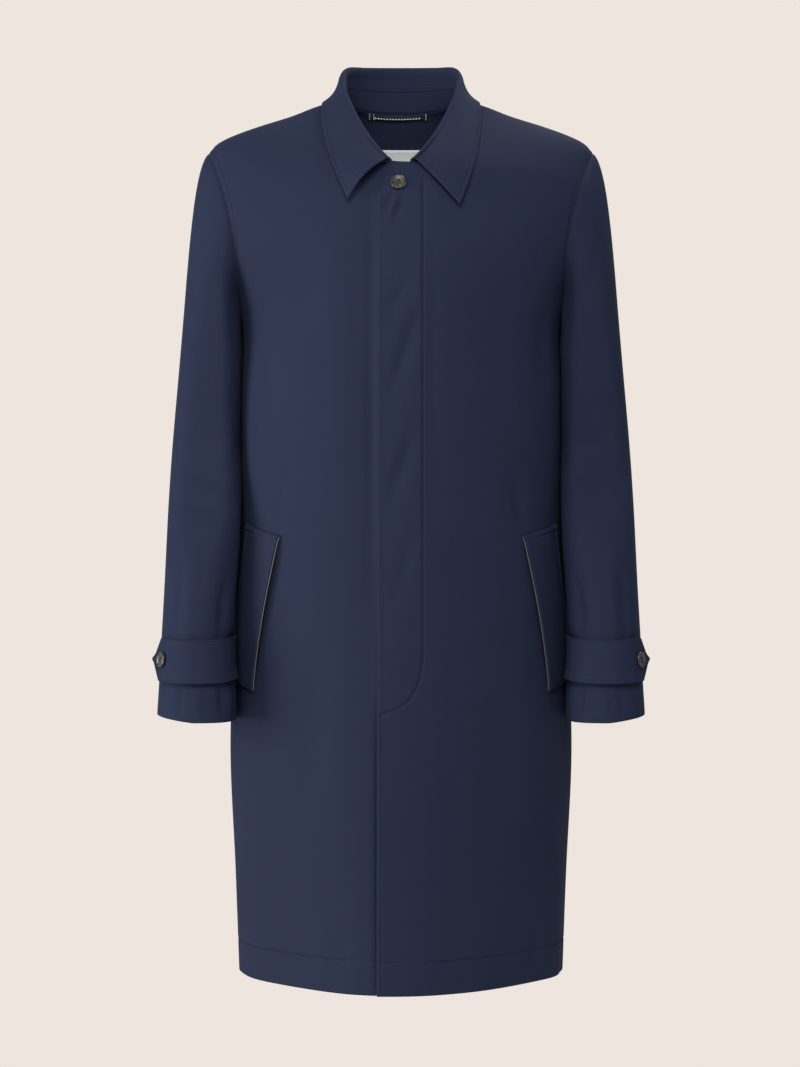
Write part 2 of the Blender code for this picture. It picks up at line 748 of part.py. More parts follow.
def add_button(name, place, normal):
    """A four-hole button with a raised rim, its back on the given place."""
    profile = (
        (0.0, 0.0),
        (BUTTON_RADIUS * 0.80, 0.0),
        (BUTTON_RADIUS, BUTTON_THICK * 0.45),
        (BUTTON_RADIUS * 0.96, BUTTON_THICK * 0.85),
        (BUTTON_RADIUS * 0.86, BUTTON_THICK),
        (BUTTON_DISH_RADIUS, BUTTON_THICK - BUTTON_DISH_DEPTH * 0.35),
        (BUTTON_DISH_RADIUS * 0.8, BUTTON_THICK - BUTTON_DISH_DEPTH),
        (0.0, BUTTON_THICK - BUTTON_DISH_DEPTH),
    )
    mesh = bpy.data.meshes.new(name)
    shape = bmesh.new()
    line = [shape.verts.new((r, 0, z)) for r, z in profile]
    edges = [shape.edges.new(pair) for pair in zip(line, line[1:])]
    bmesh.ops.spin(
        shape, geom=line + edges, cent=(0, 0, 0), axis=(0, 0, 1),
        angle=2 * math.pi, steps=BUTTON_SIDES,
    )
    bmesh.ops.remove_doubles(shape, verts=shape.verts, dist=1e-6)
    bmesh.ops.recalc_face_normals(shape, faces=shape.faces)
    shape.to_mesh(mesh)
    shape.free()
    piece = add_object(name, "horn", mesh)
    turn = Vector(normal).to_track_quat("Z", "Y")
    piece.matrix_world = Matrix.Translation(place) @ turn.to_matrix().to_4x4()
    cutter = add_button_holes(name + "_holes", piece.matrix_world)
    holes = piece.modifiers.new("holes", "BOOLEAN")
    holes.operation = "DIFFERENCE"
    holes.object = cutter


def add_button_holes(name, matrix):
    """The four pins that cut a button's thread holes."""
    shape = bmesh.new()
    for n in range(4):
        angle = math.pi / 4 + n * math.pi / 2
        centre = Vector((math.cos(angle), math.sin(angle), 0)) * BUTTON_HOLE_OFFSET * math.sqrt(2)
        bmesh.ops.create_cone(
            shape, cap_ends=True, segments=8, depth=BUTTON_THICK * 3,
            radius1=BUTTON_HOLE_RADIUS, radius2=BUTTON_HOLE_RADIUS,
            matrix=Matrix.Translation(centre),
        )
    mesh = bpy.data.meshes.new(name)
    shape.to_mesh(mesh)
    shape.free()
    cutter = bpy.data.objects.new(name, mesh)
    bpy.context.scene.collection.objects.link(cutter)
    cutter.matrix_world = matrix
    cutter.hide_render = True
    cutter.display_type = "WIRE"
    return cutter


def body_normal(face, x, z):
    """The outward unit normal of the body at a place seen from the front."""
    surface = lambda across, up: Vector((across, body_depth(face, across, up), up))
    return surface_normal(surface, x, z, Vector((0, -1 if face == "front" else 1, 0)))


def add_neck_button():
    """The one button that shows on the front, at the top of the fly."""
    x, z = NECK_BUTTON_X, NECK_BUTTON_Z
    normal = body_normal("front", x, z)
    base = lapped(Vector((x, body_depth("front", x, z), z)), 1)
    add_button("button_neck", base + normal * (REST_GAP * 1.5), normal)


def add_strap_button(name, side):
    """A button near the strap's point."""
    past = STRAP_TAIL - STRAP_BUTTON_FROM_TIP
    angle = math.radians(STRAP_LEAVES_DEG)
    place = lambda p, z, out: strap_point(angle, p, z, side, out)
    lower = place(past, strap_middle(angle), STRAP_CLOTH + REST_GAP)
    higher = place(past, strap_middle(angle), 2 * STRAP_CLOTH + REST_GAP)
    normal = (higher - lower).normalized()
    add_button(name, lower + normal * REST_GAP, normal)


# Inside the back neck


def inside_back(tree, x, z, inward):
    """A point in front of the back panel's inner face."""
    place, normal, _, _ = tree.ray_cast(Vector((x, SIDE_Y, z)), Vector((0, 1, 0)))
    return place - normal * (CLOTH + inward)


def plate_sheet(name, finish, tree, x_range, z_range, cells, thick):
    """A flat piece sewn to the inside of the back, made from the back's own surface."""
    rows = []
    for i in range(cells[1] + 1):
        z = mix(*z_range, i / cells[1])
        places = [mix(*x_range, j / cells[0]) for j in range(cells[0] + 1)]
        rows.append([inside_back(tree, x, z, thick + REST_GAP) for x in places])
    return Sheet(name, finish, rows, thick=thick)


def loop_sheet(tree):
    """The hanger loop, a narrow tape that hangs a little at its middle."""
    rows = []
    for height in (-1.0, 0.0, 1.0):
        row = []
        for n in range(LOOP_STATIONS + 1):
            t = mix(-1.0, 1.0, n / LOOP_STATIONS)
            slack = 1 - t * t
            x = LOOP_SHIFT_X + LOOP_HALF_LENGTH * t
            z = LOOP_Z - LOOP_SAG * slack + LOOP_HALF_HEIGHT * height
            row.append(inside_back(tree, x, z, LOOP_THICK + REST_GAP + LOOP_STAND_OFF * slack))
        rows.append(row)
    return Sheet("hanger_loop", "black_tape", rows, thick=LOOP_THICK)


def neck_sheets(back):
    """What is sewn inside the back neck: the loop, the tabs at its ends and a blank label."""
    tree = sheet_tree([back])
    sheets = [loop_sheet(tree)]
    for name, end in (("loop_tab_left", 1), ("loop_tab_right", -1)):
        middle = LOOP_SHIFT_X + end * (LOOP_HALF_LENGTH + TAB_HALF_WIDTH + REST_GAP)
        x_range = (middle - TAB_HALF_WIDTH, middle + TAB_HALF_WIDTH)
        z_range = (LOOP_Z - TAB_HALF_HEIGHT, LOOP_Z + TAB_HALF_HEIGHT)
        sheets.append(plate_sheet(name, "black_tape", tree, x_range, z_range, (3, 2), TAB_THICK))
    x_range = (-LABEL_HALF_WIDTH, LABEL_HALF_WIDTH)
    z_range = (LABEL_BOTTOM_Z, LABEL_TOP_Z)
    label = plate_sheet("neck_label", "white_label", tree, x_range, z_range, (10, 4), LABEL_THICK)
    return sheets + [label]


def main():
    for thing in list(bpy.data.objects):
        bpy.data.objects.remove(thing)
    body = [front_sheet("front_left", 1), front_sheet("front_right", -1), back_sheet()]
    sleeves = [sleeve_sheet("sleeve_left", 1), sleeve_sheet("sleeve_right", -1)]
    stand, leaf = collar_sheets(body)
    shell = body + sleeves + [stand, leaf]
    share_seams(shell)
    trim = [strap_sheet("cuff_strap_left", 1), strap_sheet("cuff_strap_right", -1)]
    trim += [welt_sheet("pocket_welt_left", 1), welt_sheet("pocket_welt_right", -1)]
    for sheet in shell + trim + neck_sheets(body[-1]):
        add_wall(sheet)
    add_piping("pocket_piping_left", 1)
    add_piping("pocket_piping_right", -1)
    add_neck_button()
    add_strap_button("button_cuff_left", 1)
    add_strap_button("button_cuff_right", -1)


main()
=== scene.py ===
# %% [markdown]
# # Dressing a car coat
# The packed solids already have the coat's shape. This lesson gives them cloth: finer panels with
# soft creases, rows of stitches, horn buttons and a woven finish, all in the solids' own frame.
# Units are metres, +Z is up, the coat faces -Y and the wearer's left is +X.

# %% Load the packed solids
import math

import bmesh
import bpy
import numpy as np
from mathutils import Matrix, Vector
from mathutils.bvhtree import BVHTree


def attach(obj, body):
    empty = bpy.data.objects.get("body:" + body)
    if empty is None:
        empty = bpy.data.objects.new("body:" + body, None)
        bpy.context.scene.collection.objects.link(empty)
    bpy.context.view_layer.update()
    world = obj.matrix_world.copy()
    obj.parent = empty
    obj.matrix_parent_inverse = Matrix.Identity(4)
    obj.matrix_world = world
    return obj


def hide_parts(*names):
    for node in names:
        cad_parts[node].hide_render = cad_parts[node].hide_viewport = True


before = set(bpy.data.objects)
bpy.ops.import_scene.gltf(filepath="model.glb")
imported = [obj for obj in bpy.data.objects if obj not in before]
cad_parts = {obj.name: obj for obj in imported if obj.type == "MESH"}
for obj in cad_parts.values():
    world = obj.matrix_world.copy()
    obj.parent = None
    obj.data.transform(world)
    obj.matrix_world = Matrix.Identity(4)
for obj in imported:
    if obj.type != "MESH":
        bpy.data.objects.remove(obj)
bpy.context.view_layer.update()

# %% [markdown]
# ## Sizes
# A pattern cutter works from a size sheet. These are the sizes and tables that the solids were made
# from, because a panel that is made again, only finer, has to lie where its solid lies. A few rows
# are set a little off the solids', where the photograph shows a softer fold or a flatter sleeve. The
# sizes of the smaller pieces are given where each is made.

# %% The size sheet
CLOTH = 0.0020
REST_GAP = 0.0005
HEM_Z = -1.013
UNDERARM_Z = -0.262
NECK_FRONT_Z = -0.093
NECK_BACK_Z = -0.004
NECK_HALF_WIDTH = 0.068
SHOULDER_TIP_X = 0.2235
SHOULDER_TIP_Z = -0.0640
SIDE_Y = 0.008
ARMHOLE_HOLLOW = {"front": 2.5, "back": 1.5}
FLY_EDGE_X = 0.026
FLY_EDGE_AT_NECK_X = 0.0155
FLY_CURVE_Z = -0.135
LAP_OFFSET = 0.0015
LAP_FULL_X = 0.030
LAP_END_X = 0.064
NECK_RISE = {"front": 7 / 14, "back": 8 / 14}
NECK_EASE = 1.3

BODY_COLUMNS = ("z", "half_width", "front", "back", "pointing")
BODY = (
    (-1.013, 0.1885, 0.151, 0.142, 1.40),
    (-0.900, 0.1925, 0.150, 0.139, 1.30),
    (-0.745, 0.1985, 0.149, 0.135, 1.18),
    (-0.680, 0.1968, 0.148, 0.132, 1.12),
    (-0.590, 0.1925, 0.148, 0.128, 1.06),
    (-0.520, 0.1877, 0.148, 0.124, 1.04),
    (-0.450, 0.1848, 0.148, 0.121, 1.02),
    (-0.340, 0.1862, 0.149, 0.123, 1.02),
    (-0.262, 0.1850, 0.147, 0.127, 1.02),
    (-0.250, 0.1872, 0.1458, 0.127, 1.01),
    (-0.235, 0.1915, 0.1438, 0.127, 1.00),
    (-0.215, 0.2005, 0.1408, 0.1268, 1.00),
    (-0.190, 0.2145, 0.136, 0.126, 1.00),
    (-0.150, 0.2325, 0.125, 0.121, 1.00),
    (-0.110, 0.2350, 0.109, 0.114, 1.00),
    (-0.093, 0.2310, 0.0985, 0.110, 1.00),
    (-0.080, 0.2285, 0.0865, 0.106, 1.00),
    (-0.0640, 0.2235, 0.0700, 0.100, 1.00),
    (-0.0500, 0.2080, 0.0555, 0.095, 1.00),
    (-0.0415, 0.1890, 0.0465, 0.091, 1.00),
    (-0.0327, 0.1643, 0.0375, 0.087, 1.00),
    (-0.0220, 0.1310, 0.0265, 0.082, 1.00),
    (-0.0070, 0.0921, 0.0135, 0.075, 1.00),
    (0.0000, 0.0680, 0.0080, 0.072, 1.00),
)
BACK_POINTING = 0.35

FOLD_COLUMNS = ("angle_deg", "spread_deg", "top_z", "depth")
FOLDS = (
    (-62.0, 11.0, -0.62, 0.0030),
    (-38.0, 14.0, -0.70, -0.0025),
    (40.0, 15.0, -0.66, -0.0025),
    (66.0, 9.0, -0.72, 0.0040),
    (80.0, 7.0, -0.78, -0.0010),
    (118.0, 13.0, -0.60, 0.0040),
    (148.0, 15.0, -0.52, -0.0035),
    (180.0, 14.0, -0.50, 0.0040),
    (-150.0, 14.0, -0.54, -0.0035),
    (-120.0, 13.0, -0.62, 0.0035),
)

print("size sheet:", len(BODY), "levels of the body,", len(FOLDS), "folds of the skirt")

# %% [markdown]
# ## The form, as functions of whole grids
# The body is a smooth depth at each place seen from the front. Written for numpy arrays, the same
# functions give thousands of points at once, so a fine panel costs no more lines than a coarse one.

# %% Curves through tables


class Table:
    """Rows of named columns, read between the rows along a smooth curve by the first column."""

    def __init__(self, columns, rows):
        self.columns = columns
        rows = np.array(rows, float)
        self.values = rows[rows[:, 0].argsort()]
        self.knots = self.values[:, 0]
        self.slopes = np.gradient(self.values, self.knots, axis=0)

    def at(self, place):
        place = np.asarray(place, float)
        k = np.clip(np.searchsorted(self.knots, place) - 1, 0, len(self.knots) - 2)
        span = (self.knots[k + 1] - self.knots[k])[..., None]
        t = np.clip((place - self.knots[k])[..., None] / span, 0, 1)
        low = (1 + 2 * t) * (1 - t) ** 2 * self.values[k] + t * (1 - t) ** 2 * span * self.slopes[k]
        high = t * t * (3 - 2 * t) * self.values[k + 1] - t * t * (1 - t) * span * self.slopes[k + 1]
        return dict(zip(self.columns, np.moveaxis(low + high, -1, 0)))


def ease(t):
    t = np.clip(t, 0, 1)
    return t * t * (3 - 2 * t)


def mix(a, b, share):
    return a + (b - a) * share


def unit(vectors):
    return vectors / np.maximum(np.linalg.norm(vectors, axis=-1, keepdims=True), 1e-12)


def stacked(x, y, z):
    return np.stack(np.broadcast_arrays(x, y, z), axis=-1)


def handed(points, side):
    """Points of the left half for side 1, and their mirror image for side -1."""
    return points * np.array((side, 1, 1))


SIDES = ((1, "left"), (-1, "right"))
body_table = Table(BODY_COLUMNS, BODY)
print("half width at the underarm", body_table.at(UNDERARM_Z)["half_width"])

# %% The body's surface


def fold_height(angle_deg, z):
    """How far the skirt's soft folds stand out at an angle from centre front."""
    height = np.zeros(np.broadcast(angle_deg, z).shape)
    for row in FOLDS:
        fold = dict(zip(FOLD_COLUMNS, row))
        away = (angle_deg - fold["angle_deg"] + 180) % 360 - 180
        share = ease((fold["top_z"] - z) / (fold["top_z"] - HEM_Z))
        height += fold["depth"] * share * np.exp(-((away / fold["spread_deg"]) ** 2))
    return height


def body_depth(face, x, z):
    """How far forward or back the body reaches at a place seen from the front."""
    level = body_table.at(z)
    inside = np.clip(1 - (x / level["half_width"]) ** 2, 0, None)
    if face == "front":
        return SIDE_Y - level["front"] * inside ** (level["pointing"] / 2)
    return SIDE_Y + level["back"] * inside ** (mix(1.0, level["pointing"], BACK_POINTING) / 2)


def trunk_points(face, s, z, side):
    """Points below the underarm. s is 0 at the centre line and 1 at the side seam."""
    turn = s * math.pi / 2
    x = body_table.at(z)["half_width"] * np.sin(turn)
    angle = np.degrees(turn) if face == "front" else 180 - np.degrees(turn)
    out = fold_height(side * angle, z)
    forward = np.cos(turn) * (-1 if face == "front" else 1)
    return stacked(side * (x + out * np.sin(turn)), body_depth(face, x, z) + out * forward, z)


def neckline(turn):
    """Points of the neckline. turn is 0 at centre front, 0.5 at the left shoulder, 1 at centre back."""
    forward = np.cos(math.pi * np.asarray(turn, float))
    x = NECK_HALF_WIDTH * np.sin(math.pi * np.asarray(turn, float))
    z = np.where(forward > 0, NECK_FRONT_Z, NECK_BACK_Z) * np.abs(forward)
    y = np.where(forward > 0, body_depth("front", x, z), body_depth("back", x, z))
    return stacked(x, y, z)


HALVINGS = 40
ARMHOLE_EASE = 1.1


def shoulder_z(x):
    """The height of the shoulder seam, where the shoulders' half width is x."""
    low = np.full(np.shape(x), SHOULDER_TIP_Z)
    high = np.zeros(np.shape(x))
    for _ in range(HALVINGS):
        middle = (low + high) / 2
        wide = body_table.at(middle)["half_width"] > x
        low, high = np.where(wide, middle, low), np.where(wide, high, middle)
    return (low + high) / 2


def armhole_angle(rise):
    return math.pi * (1 - np.asarray(rise, float) ** ARMHOLE_EASE)


def armhole(face, rise):
    """Points of the left armhole's front or back half."""
    high = (1 + np.cos(armhole_angle(rise))) / 2
    z = mix(UNDERARM_Z, SHOULDER_TIP_Z, high)
    x = mix(body_table.at(UNDERARM_Z)["half_width"], SHOULDER_TIP_X, high ** ARMHOLE_HOLLOW[face])
    return stacked(x, body_depth(face, x, z), z)


def yoke_points(face, s, rise):
    """Points between the underarm level (rise 0) and the shoulder seam (rise 1), on the left."""
    neck_rise = NECK_RISE[face]
    neck_z = NECK_FRONT_Z if face == "front" else NECK_BACK_Z
    below = mix(UNDERARM_Z, neck_z, 1 - np.clip(1 - rise / neck_rise, 0, 1) ** NECK_EASE)
    past = np.clip((rise - neck_rise) / (1 - neck_rise), 0, 1)
    inner = neckline(mix(0.0 if face == "front" else 1.0, 0.5, past ** NECK_EASE))
    inner_x = np.where(rise <= neck_rise, 0.0, inner[..., 0])
    inner_z = np.where(rise <= neck_rise, below, inner[..., 2])
    outer = armhole(face, rise)
    across = mix(np.sin(s * math.pi / 2), s, ease(rise))
    x = inner_x + (outer[..., 0] - inner_x) * across
    seam_x = mix(NECK_HALF_WIDTH, SHOULDER_TIP_X, s)
    level = mix(inner_z, outer[..., 2], s * s)
    parallel = shoulder_z(seam_x) + mix(inner_z, outer[..., 2] - SHOULDER_TIP_Z, s)
    z = mix(level, parallel, ease(past))
    x = np.where(rise >= 1, seam_x, x)
    return stacked(x, np.where(rise >= 1, SIDE_Y, body_depth(face, x, z)), z)


def lapped(points, side):
    """Moves a front's points near the centre forward on the left and back on the right."""
    share = 1 - ease((np.abs(points[..., 0]) - LAP_FULL_X) / (LAP_END_X - LAP_FULL_X))
    moved = points.copy()
    moved[..., 1] -= np.where(points[..., 1] > 0, 0.0, LAP_OFFSET * side * share)
    return moved


def on_front(x, z):
    """Points of the left front where it laps over, at places seen from the front."""
    x, z = np.asarray(x, float), np.asarray(z, float)
    return lapped(stacked(x, body_depth("front", np.abs(x), z), z), 1)


print("shoulder seam at mid shoulder", shoulder_z(np.array([0.14])))

# %% [markdown]
# ## From a grid to a cloth wall
# Real cloth has two faces and a folded or cut edge. Each panel is a grid of points that is moved in
# and out by its creases, given a second side inwards and closed by a rounded rim. A Solidify
# modifier could do the wall, but building it here keeps the edges rounded and the cut's own UVs.

# %% Grid helpers


def graded(start, end, step, *marks):
    """Places from start to end, about a step apart, and closer together round each (place, step, reach)."""
    places, at = [start], start
    while at < end:
        near = [fine for mark, fine, reach in marks if abs(at - mark) <= reach]
        at += min(near + [step])
        places.append(at)
    places = np.array(places)
    return start + (places - start) * (end - start) / (places[-1] - start)


def reach(grid, axis, backwards=False):
    """How far along the cloth each point of a grid is from the grid's first row or column."""
    steps = np.linalg.norm(np.diff(grid, axis=axis), axis=-1)
    start = np.zeros_like(np.take(steps, [0], axis=axis))
    if backwards:
        total = np.flip(np.cumsum(np.flip(steps, axis), axis=axis), axis)
        return np.concatenate([total, start], axis=axis)
    return np.concatenate([start, np.cumsum(steps, axis=axis)], axis=axis)


def hollow(distance, width, depth):
    """A soft trough, or a ridge where depth is negative, round distance 0."""
    return -depth * np.exp(-((distance / width) ** 2))


def ridge(distance, width, height):
    return hollow(distance, width, -height)


SEAM_WIDTH, SEAM_DEPTH = 0.0026, 0.0007
STITCH_WIDTH, STITCH_DEPTH = 0.0013, 0.0007
EDGE_PUFF = 0.0005


def seam(distance):
    """How cloth dips where it is sewn to its neighbour."""
    return hollow(distance, SEAM_WIDTH, SEAM_DEPTH)


def stitched(distance):
    """How cloth dips along a row of stitches."""
    return hollow(distance, STITCH_WIDTH, STITCH_DEPTH)


def stitched_edge(distance, inset, puff=EDGE_PUFF):
    """How a turned edge swells between its fold and the row of stitches at the given inset."""
    swell = puff * np.clip(distance / inset, 0, 1) * np.clip(2 - 2 * distance / inset, 0, 1) * 2
    return swell + stitched(distance - inset)


print("a graded row:", np.round(graded(0, 1, 0.25, (0.5, 0.05, 0.1)), 2))

# %% Cells, normals and rims
MERGE_DIGITS = 7


def grid_cells(shape, closed, keep, flip):
    """The four-cornered cells between a grid's points, or only those to keep."""
    rows, columns = shape
    i, j = np.meshgrid(np.arange(rows - 1), np.arange(columns if closed else columns - 1), indexing="ij")
    right = (j + 1) % columns
    corners = (i * columns + j, i * columns + right, (i + 1) * columns + right, (i + 1) * columns + j)
    cells = np.stack(corners, -1)
    cells = cells[keep] if keep is not None else cells.reshape(-1, 4)
    return cells[:, ::-1] if flip else cells


def cell_normals(points, cells):
    """The direction that the cells round each point face."""
    normals = np.zeros_like(points)
    corner = points[cells]
    facing = np.cross(corner[:, 2] - corner[:, 0], corner[:, 3] - corner[:, 1])
    for n in range(4):
        np.add.at(normals, cells[:, n], facing)
    return unit(normals)


def merged(points, cells):
    """The points with those at one place made one, and the cells with their new numbers."""
    rounded = np.round(points, MERGE_DIGITS)
    _, first, places = np.unique(rounded, axis=0, return_index=True, return_inverse=True)
    return first, places.reshape(-1)[cells]


def rim_edges(cells):
    """The directed edges that have a cell on one side only."""
    edges = np.concatenate([cells[:, [n, (n + 1) % 4]] for n in range(4)])
    size = int(edges.max()) + 1
    forward, backward = edges[:, 0] * size + edges[:, 1], edges[:, 1] * size + edges[:, 0]
    return edges[~np.isin(forward, backward)]


def add_piece(name, mesh):
    piece = bpy.data.objects.new(name, mesh)
    bpy.context.scene.collection.objects.link(piece)
    return piece


print("points are merged within", 10.0 ** -MERGE_DIGITS, "m")

# %% The cloth builder
RIM_ROUND = 0.16
outer_sides = {}


def cloth(name, grid, lift=0.0, keep=None, closed=False, flip=False, thick=CLOTH):
    """A closed cloth wall, whose outer side is the grid moved out by lift. UVs are metres along the cut."""
    lengths = np.stack([reach(grid, 1), reach(grid, 0)], -1).reshape(-1, 2)
    flat = grid.reshape(-1, 3)
    first, cells = merged(flat, grid_cells(grid.shape[:2], closed, keep, flip))
    used, places = np.unique(cells, return_inverse=True)
    cells = places.reshape(-1, 4)
    points, lengths = flat[first][used], lengths[first][used]
    heights = np.broadcast_to(lift, grid.shape[:2]).reshape(-1)[first][used]
    outer = points + cell_normals(points, cells) * heights[:, None]
    normals = cell_normals(outer, cells)
    outer_sides[name] = (outer.copy(), cells)
    inner = outer - normals * thick
    rim = rim_edges(cells)
    along = unit(outer[rim[:, 1]] - outer[rim[:, 0]])
    away = np.zeros_like(outer)
    for end in (0, 1):
        np.add.at(away, rim[:, end], np.cross(along, normals[rim[:, end]]))
    on_rim = np.unique(rim)
    middle = (outer + inner)[on_rim] / 2 + unit(away[on_rim]) * thick * RIM_ROUND
    outer[on_rim] -= normals[on_rim] * thick * RIM_ROUND
    inner[on_rim] += normals[on_rim] * thick * RIM_ROUND
    count = len(outer)
    third = np.full(count, -1)
    third[on_rim] = 2 * count + np.arange(len(on_rim))
    a, b = rim[:, 0], rim[:, 1]
    faces = [cells, cells[:, ::-1] + count]
    faces.append(np.stack([b, a, third[a], third[b]], -1))
    faces.append(np.stack([third[b], third[a], a + count, b + count], -1))
    faces = np.concatenate(faces)
    mesh = bpy.data.meshes.new(name)
    mesh.from_pydata(np.concatenate([outer, inner, middle]).tolist(), [], faces.tolist())
    cut = mesh.uv_layers.new(name="cut")
    flat_places = np.concatenate([lengths, lengths, lengths[on_rim]])
    cut.data.foreach_set("uv", flat_places[faces.reshape(-1)].astype(np.float32).reshape(-1))
    mesh.shade_smooth()
    piece = add_piece(name, mesh)
    area = sum(face.area for face in mesh.polygons) / 2
    print(f"{name}: {len(faces) * 2} triangles, {area:.3f} m2 of cloth")
    return piece


print("cloth walls are", CLOTH * 1000, "mm thick")

# %% Lines and surfaces on cloth


def grid_normals(grid, flip=False):
    """The direction that an open grid faces at each of its points."""
    cells = grid_cells(grid.shape[:2], False, None, flip)
    return cell_normals(grid.reshape(-1, 3), cells).reshape(grid.shape)


def inset_line(grid, axis, backwards, inset):
    """The line on a grid at a distance from one of its sides."""
    distance = reach(grid, axis, backwards)
    lanes = grid if axis == 1 else grid.transpose(1, 0, 2)
    distance = distance if axis == 1 else distance.T
    line = []
    for lane, far in zip(lanes, distance):
        order = np.argsort(far)
        line.append([np.interp(inset, far[order], lane[order, n]) for n in range(3)])
    return np.array(line)


def surface_of(*pieces):
    """The pieces' faces, to be searched for the nearest place."""
    points, faces = [], []
    for piece in pieces:
        start = len(points)
        points += [v.co.copy() for v in piece.data.vertices]
        faces += [[n + start for n in face.vertices] for face in piece.data.polygons]
    return BVHTree.FromPolygons(points, faces)


def outside_of(*pieces):
    """Only the pieces' outer sides, without rims, to lay other cloth on."""
    points, faces = [], []
    for piece in pieces:
        outer, cells = outer_sides[piece.name]
        faces += (cells + len(points)).tolist()
        points += outer.tolist()
    return BVHTree.FromPolygons(points, faces)


sample = stacked(np.linspace(0, 0.1, 5)[None, :], 0.0, np.linspace(0, 0.1, 4)[:, None])
print("a line 5 mm inside a square starts at", inset_line(sample, 1, False, 0.005)[0])

# %% [markdown]
# ## Creases
# The photograph shows smooth cloth with few creases: a hollow beside the lap, short pulls below the
# top button, slanting drags across the fly, and dents over the pockets. Each is one row here, a
# path of three places with a width and a depth. Listing them one by one keeps them where they belong.

# %% Crease tables
CREASE_COLUMNS = ("start", "bend", "end", "width", "depth")
RIGHT_FRONT_CREASES = (
    ((-0.0262, -0.680), (-0.0262, -0.850), (-0.0262, -1.060), 0.0027, 0.0022),
    ((-0.0335, -0.112), (-0.0330, -0.330), (-0.0320, -0.620), 0.0062, 0.0030),
    ((-0.0500, -0.150), (-0.0460, -0.340), (-0.0420, -0.600), 0.0160, 0.0024),
    ((-0.093, -0.175), (-0.108, -0.260), (-0.112, -0.360), 0.0260, 0.0014),
    ((-0.126, -0.425), (-0.134, -0.465), (-0.138, -0.512), 0.0100, 0.0022),
    ((-0.085, -0.620), (-0.100, -0.720), (-0.104, -0.860), 0.0240, 0.0016),
    ((-0.165, -0.240), (-0.160, -0.290), (-0.162, -0.350), 0.0130, 0.0016),
    ((-0.060, -0.930), (-0.066, -0.965), (-0.068, -1.005), 0.0090, 0.0010),
)
LEFT_FRONT_CREASES = (
    ((-0.007, -0.127), (-0.013, -0.136), (-0.020, -0.148), 0.0030, 0.0021),
    ((-0.001, -0.128), (-0.008, -0.141), (-0.016, -0.154), 0.0028, -0.0018),
    ((0.004, -0.133), (-0.003, -0.147), (-0.011, -0.161), 0.0034, 0.0017),
    ((0.012, -0.222), (-0.004, -0.247), (-0.019, -0.272), 0.0075, 0.0015),
    ((0.020, -0.258), (0.003, -0.310), (-0.015, -0.360), 0.0085, 0.0021),
    ((0.016, -0.395), (0.001, -0.432), (-0.013, -0.478), 0.0080, 0.0016),
    ((0.014, -0.505), (0.003, -0.545), (-0.010, -0.590), 0.0080, 0.0007),
    ((0.034, -0.150), (0.036, -0.330), (0.035, -0.560), 0.0080, 0.0011),
    ((0.100, -0.180), (0.112, -0.270), (0.116, -0.380), 0.0280, 0.0014),
    ((0.124, -0.430), (0.132, -0.470), (0.137, -0.515), 0.0100, 0.0022),
    ((0.165, -0.240), (0.160, -0.290), (0.162, -0.350), 0.0130, 0.0016),
    ((0.090, -0.620), (0.108, -0.740), (0.112, -0.900), 0.0260, 0.0018),
    ((0.150, -0.955), (0.152, -0.975), (0.153, -1.008), 0.0060, 0.0018),
    ((0.138, -0.960), (0.139, -0.982), (0.140, -1.010), 0.0050, -0.0012),
    ((0.165, -0.950), (0.166, -0.980), (0.167, -1.011), 0.0060, -0.0014),
)
CREST = (((-0.022, -0.600), (-0.024, -1.000), (-0.024, -1.400), 0.048, -0.0026),)
UNDERARM_CREASES = (
    ((0.1852, -0.225), (0.1855, -0.285), (0.1862, -0.350), 0.0170, -0.0011),
    ((-0.1852, -0.225), (-0.1855, -0.285), (-0.1862, -0.350), 0.0170, -0.0011),
)
BACK_CREASES = (
    ((0.000, -0.330), (0.004, -0.560), (0.002, -0.820), 0.0180, 0.0014),
    ((-0.120, -0.190), (-0.105, -0.270), (-0.100, -0.380), 0.0200, 0.0020),
    ((0.122, -0.195), (0.106, -0.280), (0.098, -0.400), 0.0220, 0.0022),
    ((-0.070, -0.560), (-0.078, -0.700), (-0.080, -0.900), 0.0200, 0.0018),
    ((0.074, -0.520), (0.082, -0.690), (0.086, -0.930), 0.0220, 0.0018),
    ((-0.030, -0.080), (0.000, -0.092), (0.034, -0.082), 0.0120, 0.0010),
    ((-0.150, -0.960), (-0.151, -0.980), (-0.152, -1.008), 0.0070, 0.0014),
    ((0.045, -0.955), (0.046, -0.980), (0.046, -1.009), 0.0080, 0.0010),
)
SLEEVE_CREASES = (
    ((155, -0.235), (157, -0.290), (158, -0.400), 0.0160, -0.0026),
    ((158, -0.410), (158, -0.500), (160, -0.630), 0.0160, -0.0030),
    ((118, -0.425), (95, -0.440), (70, -0.432), 0.0110, 0.0022),
    ((125, -0.462), (100, -0.478), (78, -0.470), 0.0100, 0.0020),
    ((112, -0.395), (92, -0.402), (74, -0.398), 0.0120, 0.0012),
    ((250, -0.430), (275, -0.446), (300, -0.436), 0.0130, 0.0014),
    ((66, -0.530), (63, -0.580), (61, -0.632), 0.0085, 0.0026),
    ((134, -0.550), (131, -0.590), (128, -0.630), 0.0080, 0.0024),
    ((74, -0.674), (72, -0.692), (71, -0.712), 0.0055, 0.0016),
    ((92, -0.676), (93, -0.694), (94, -0.713), 0.0050, -0.0010),
    ((132, -0.672), (130, -0.690), (129, -0.710), 0.0060, 0.0018),
    ((150, -0.674), (151, -0.692), (152, -0.712), 0.0055, -0.0012),
    ((60, -0.210), (66, -0.270), (70, -0.350), 0.0200, 0.0014),
    ((215, -0.330), (222, -0.370), (228, -0.415), 0.0160, 0.0018),
)
all_creases = RIGHT_FRONT_CREASES + LEFT_FRONT_CREASES + BACK_CREASES
print("creases:", len(all_creases), "on the body,", len(SLEEVE_CREASES), "on each sleeve")

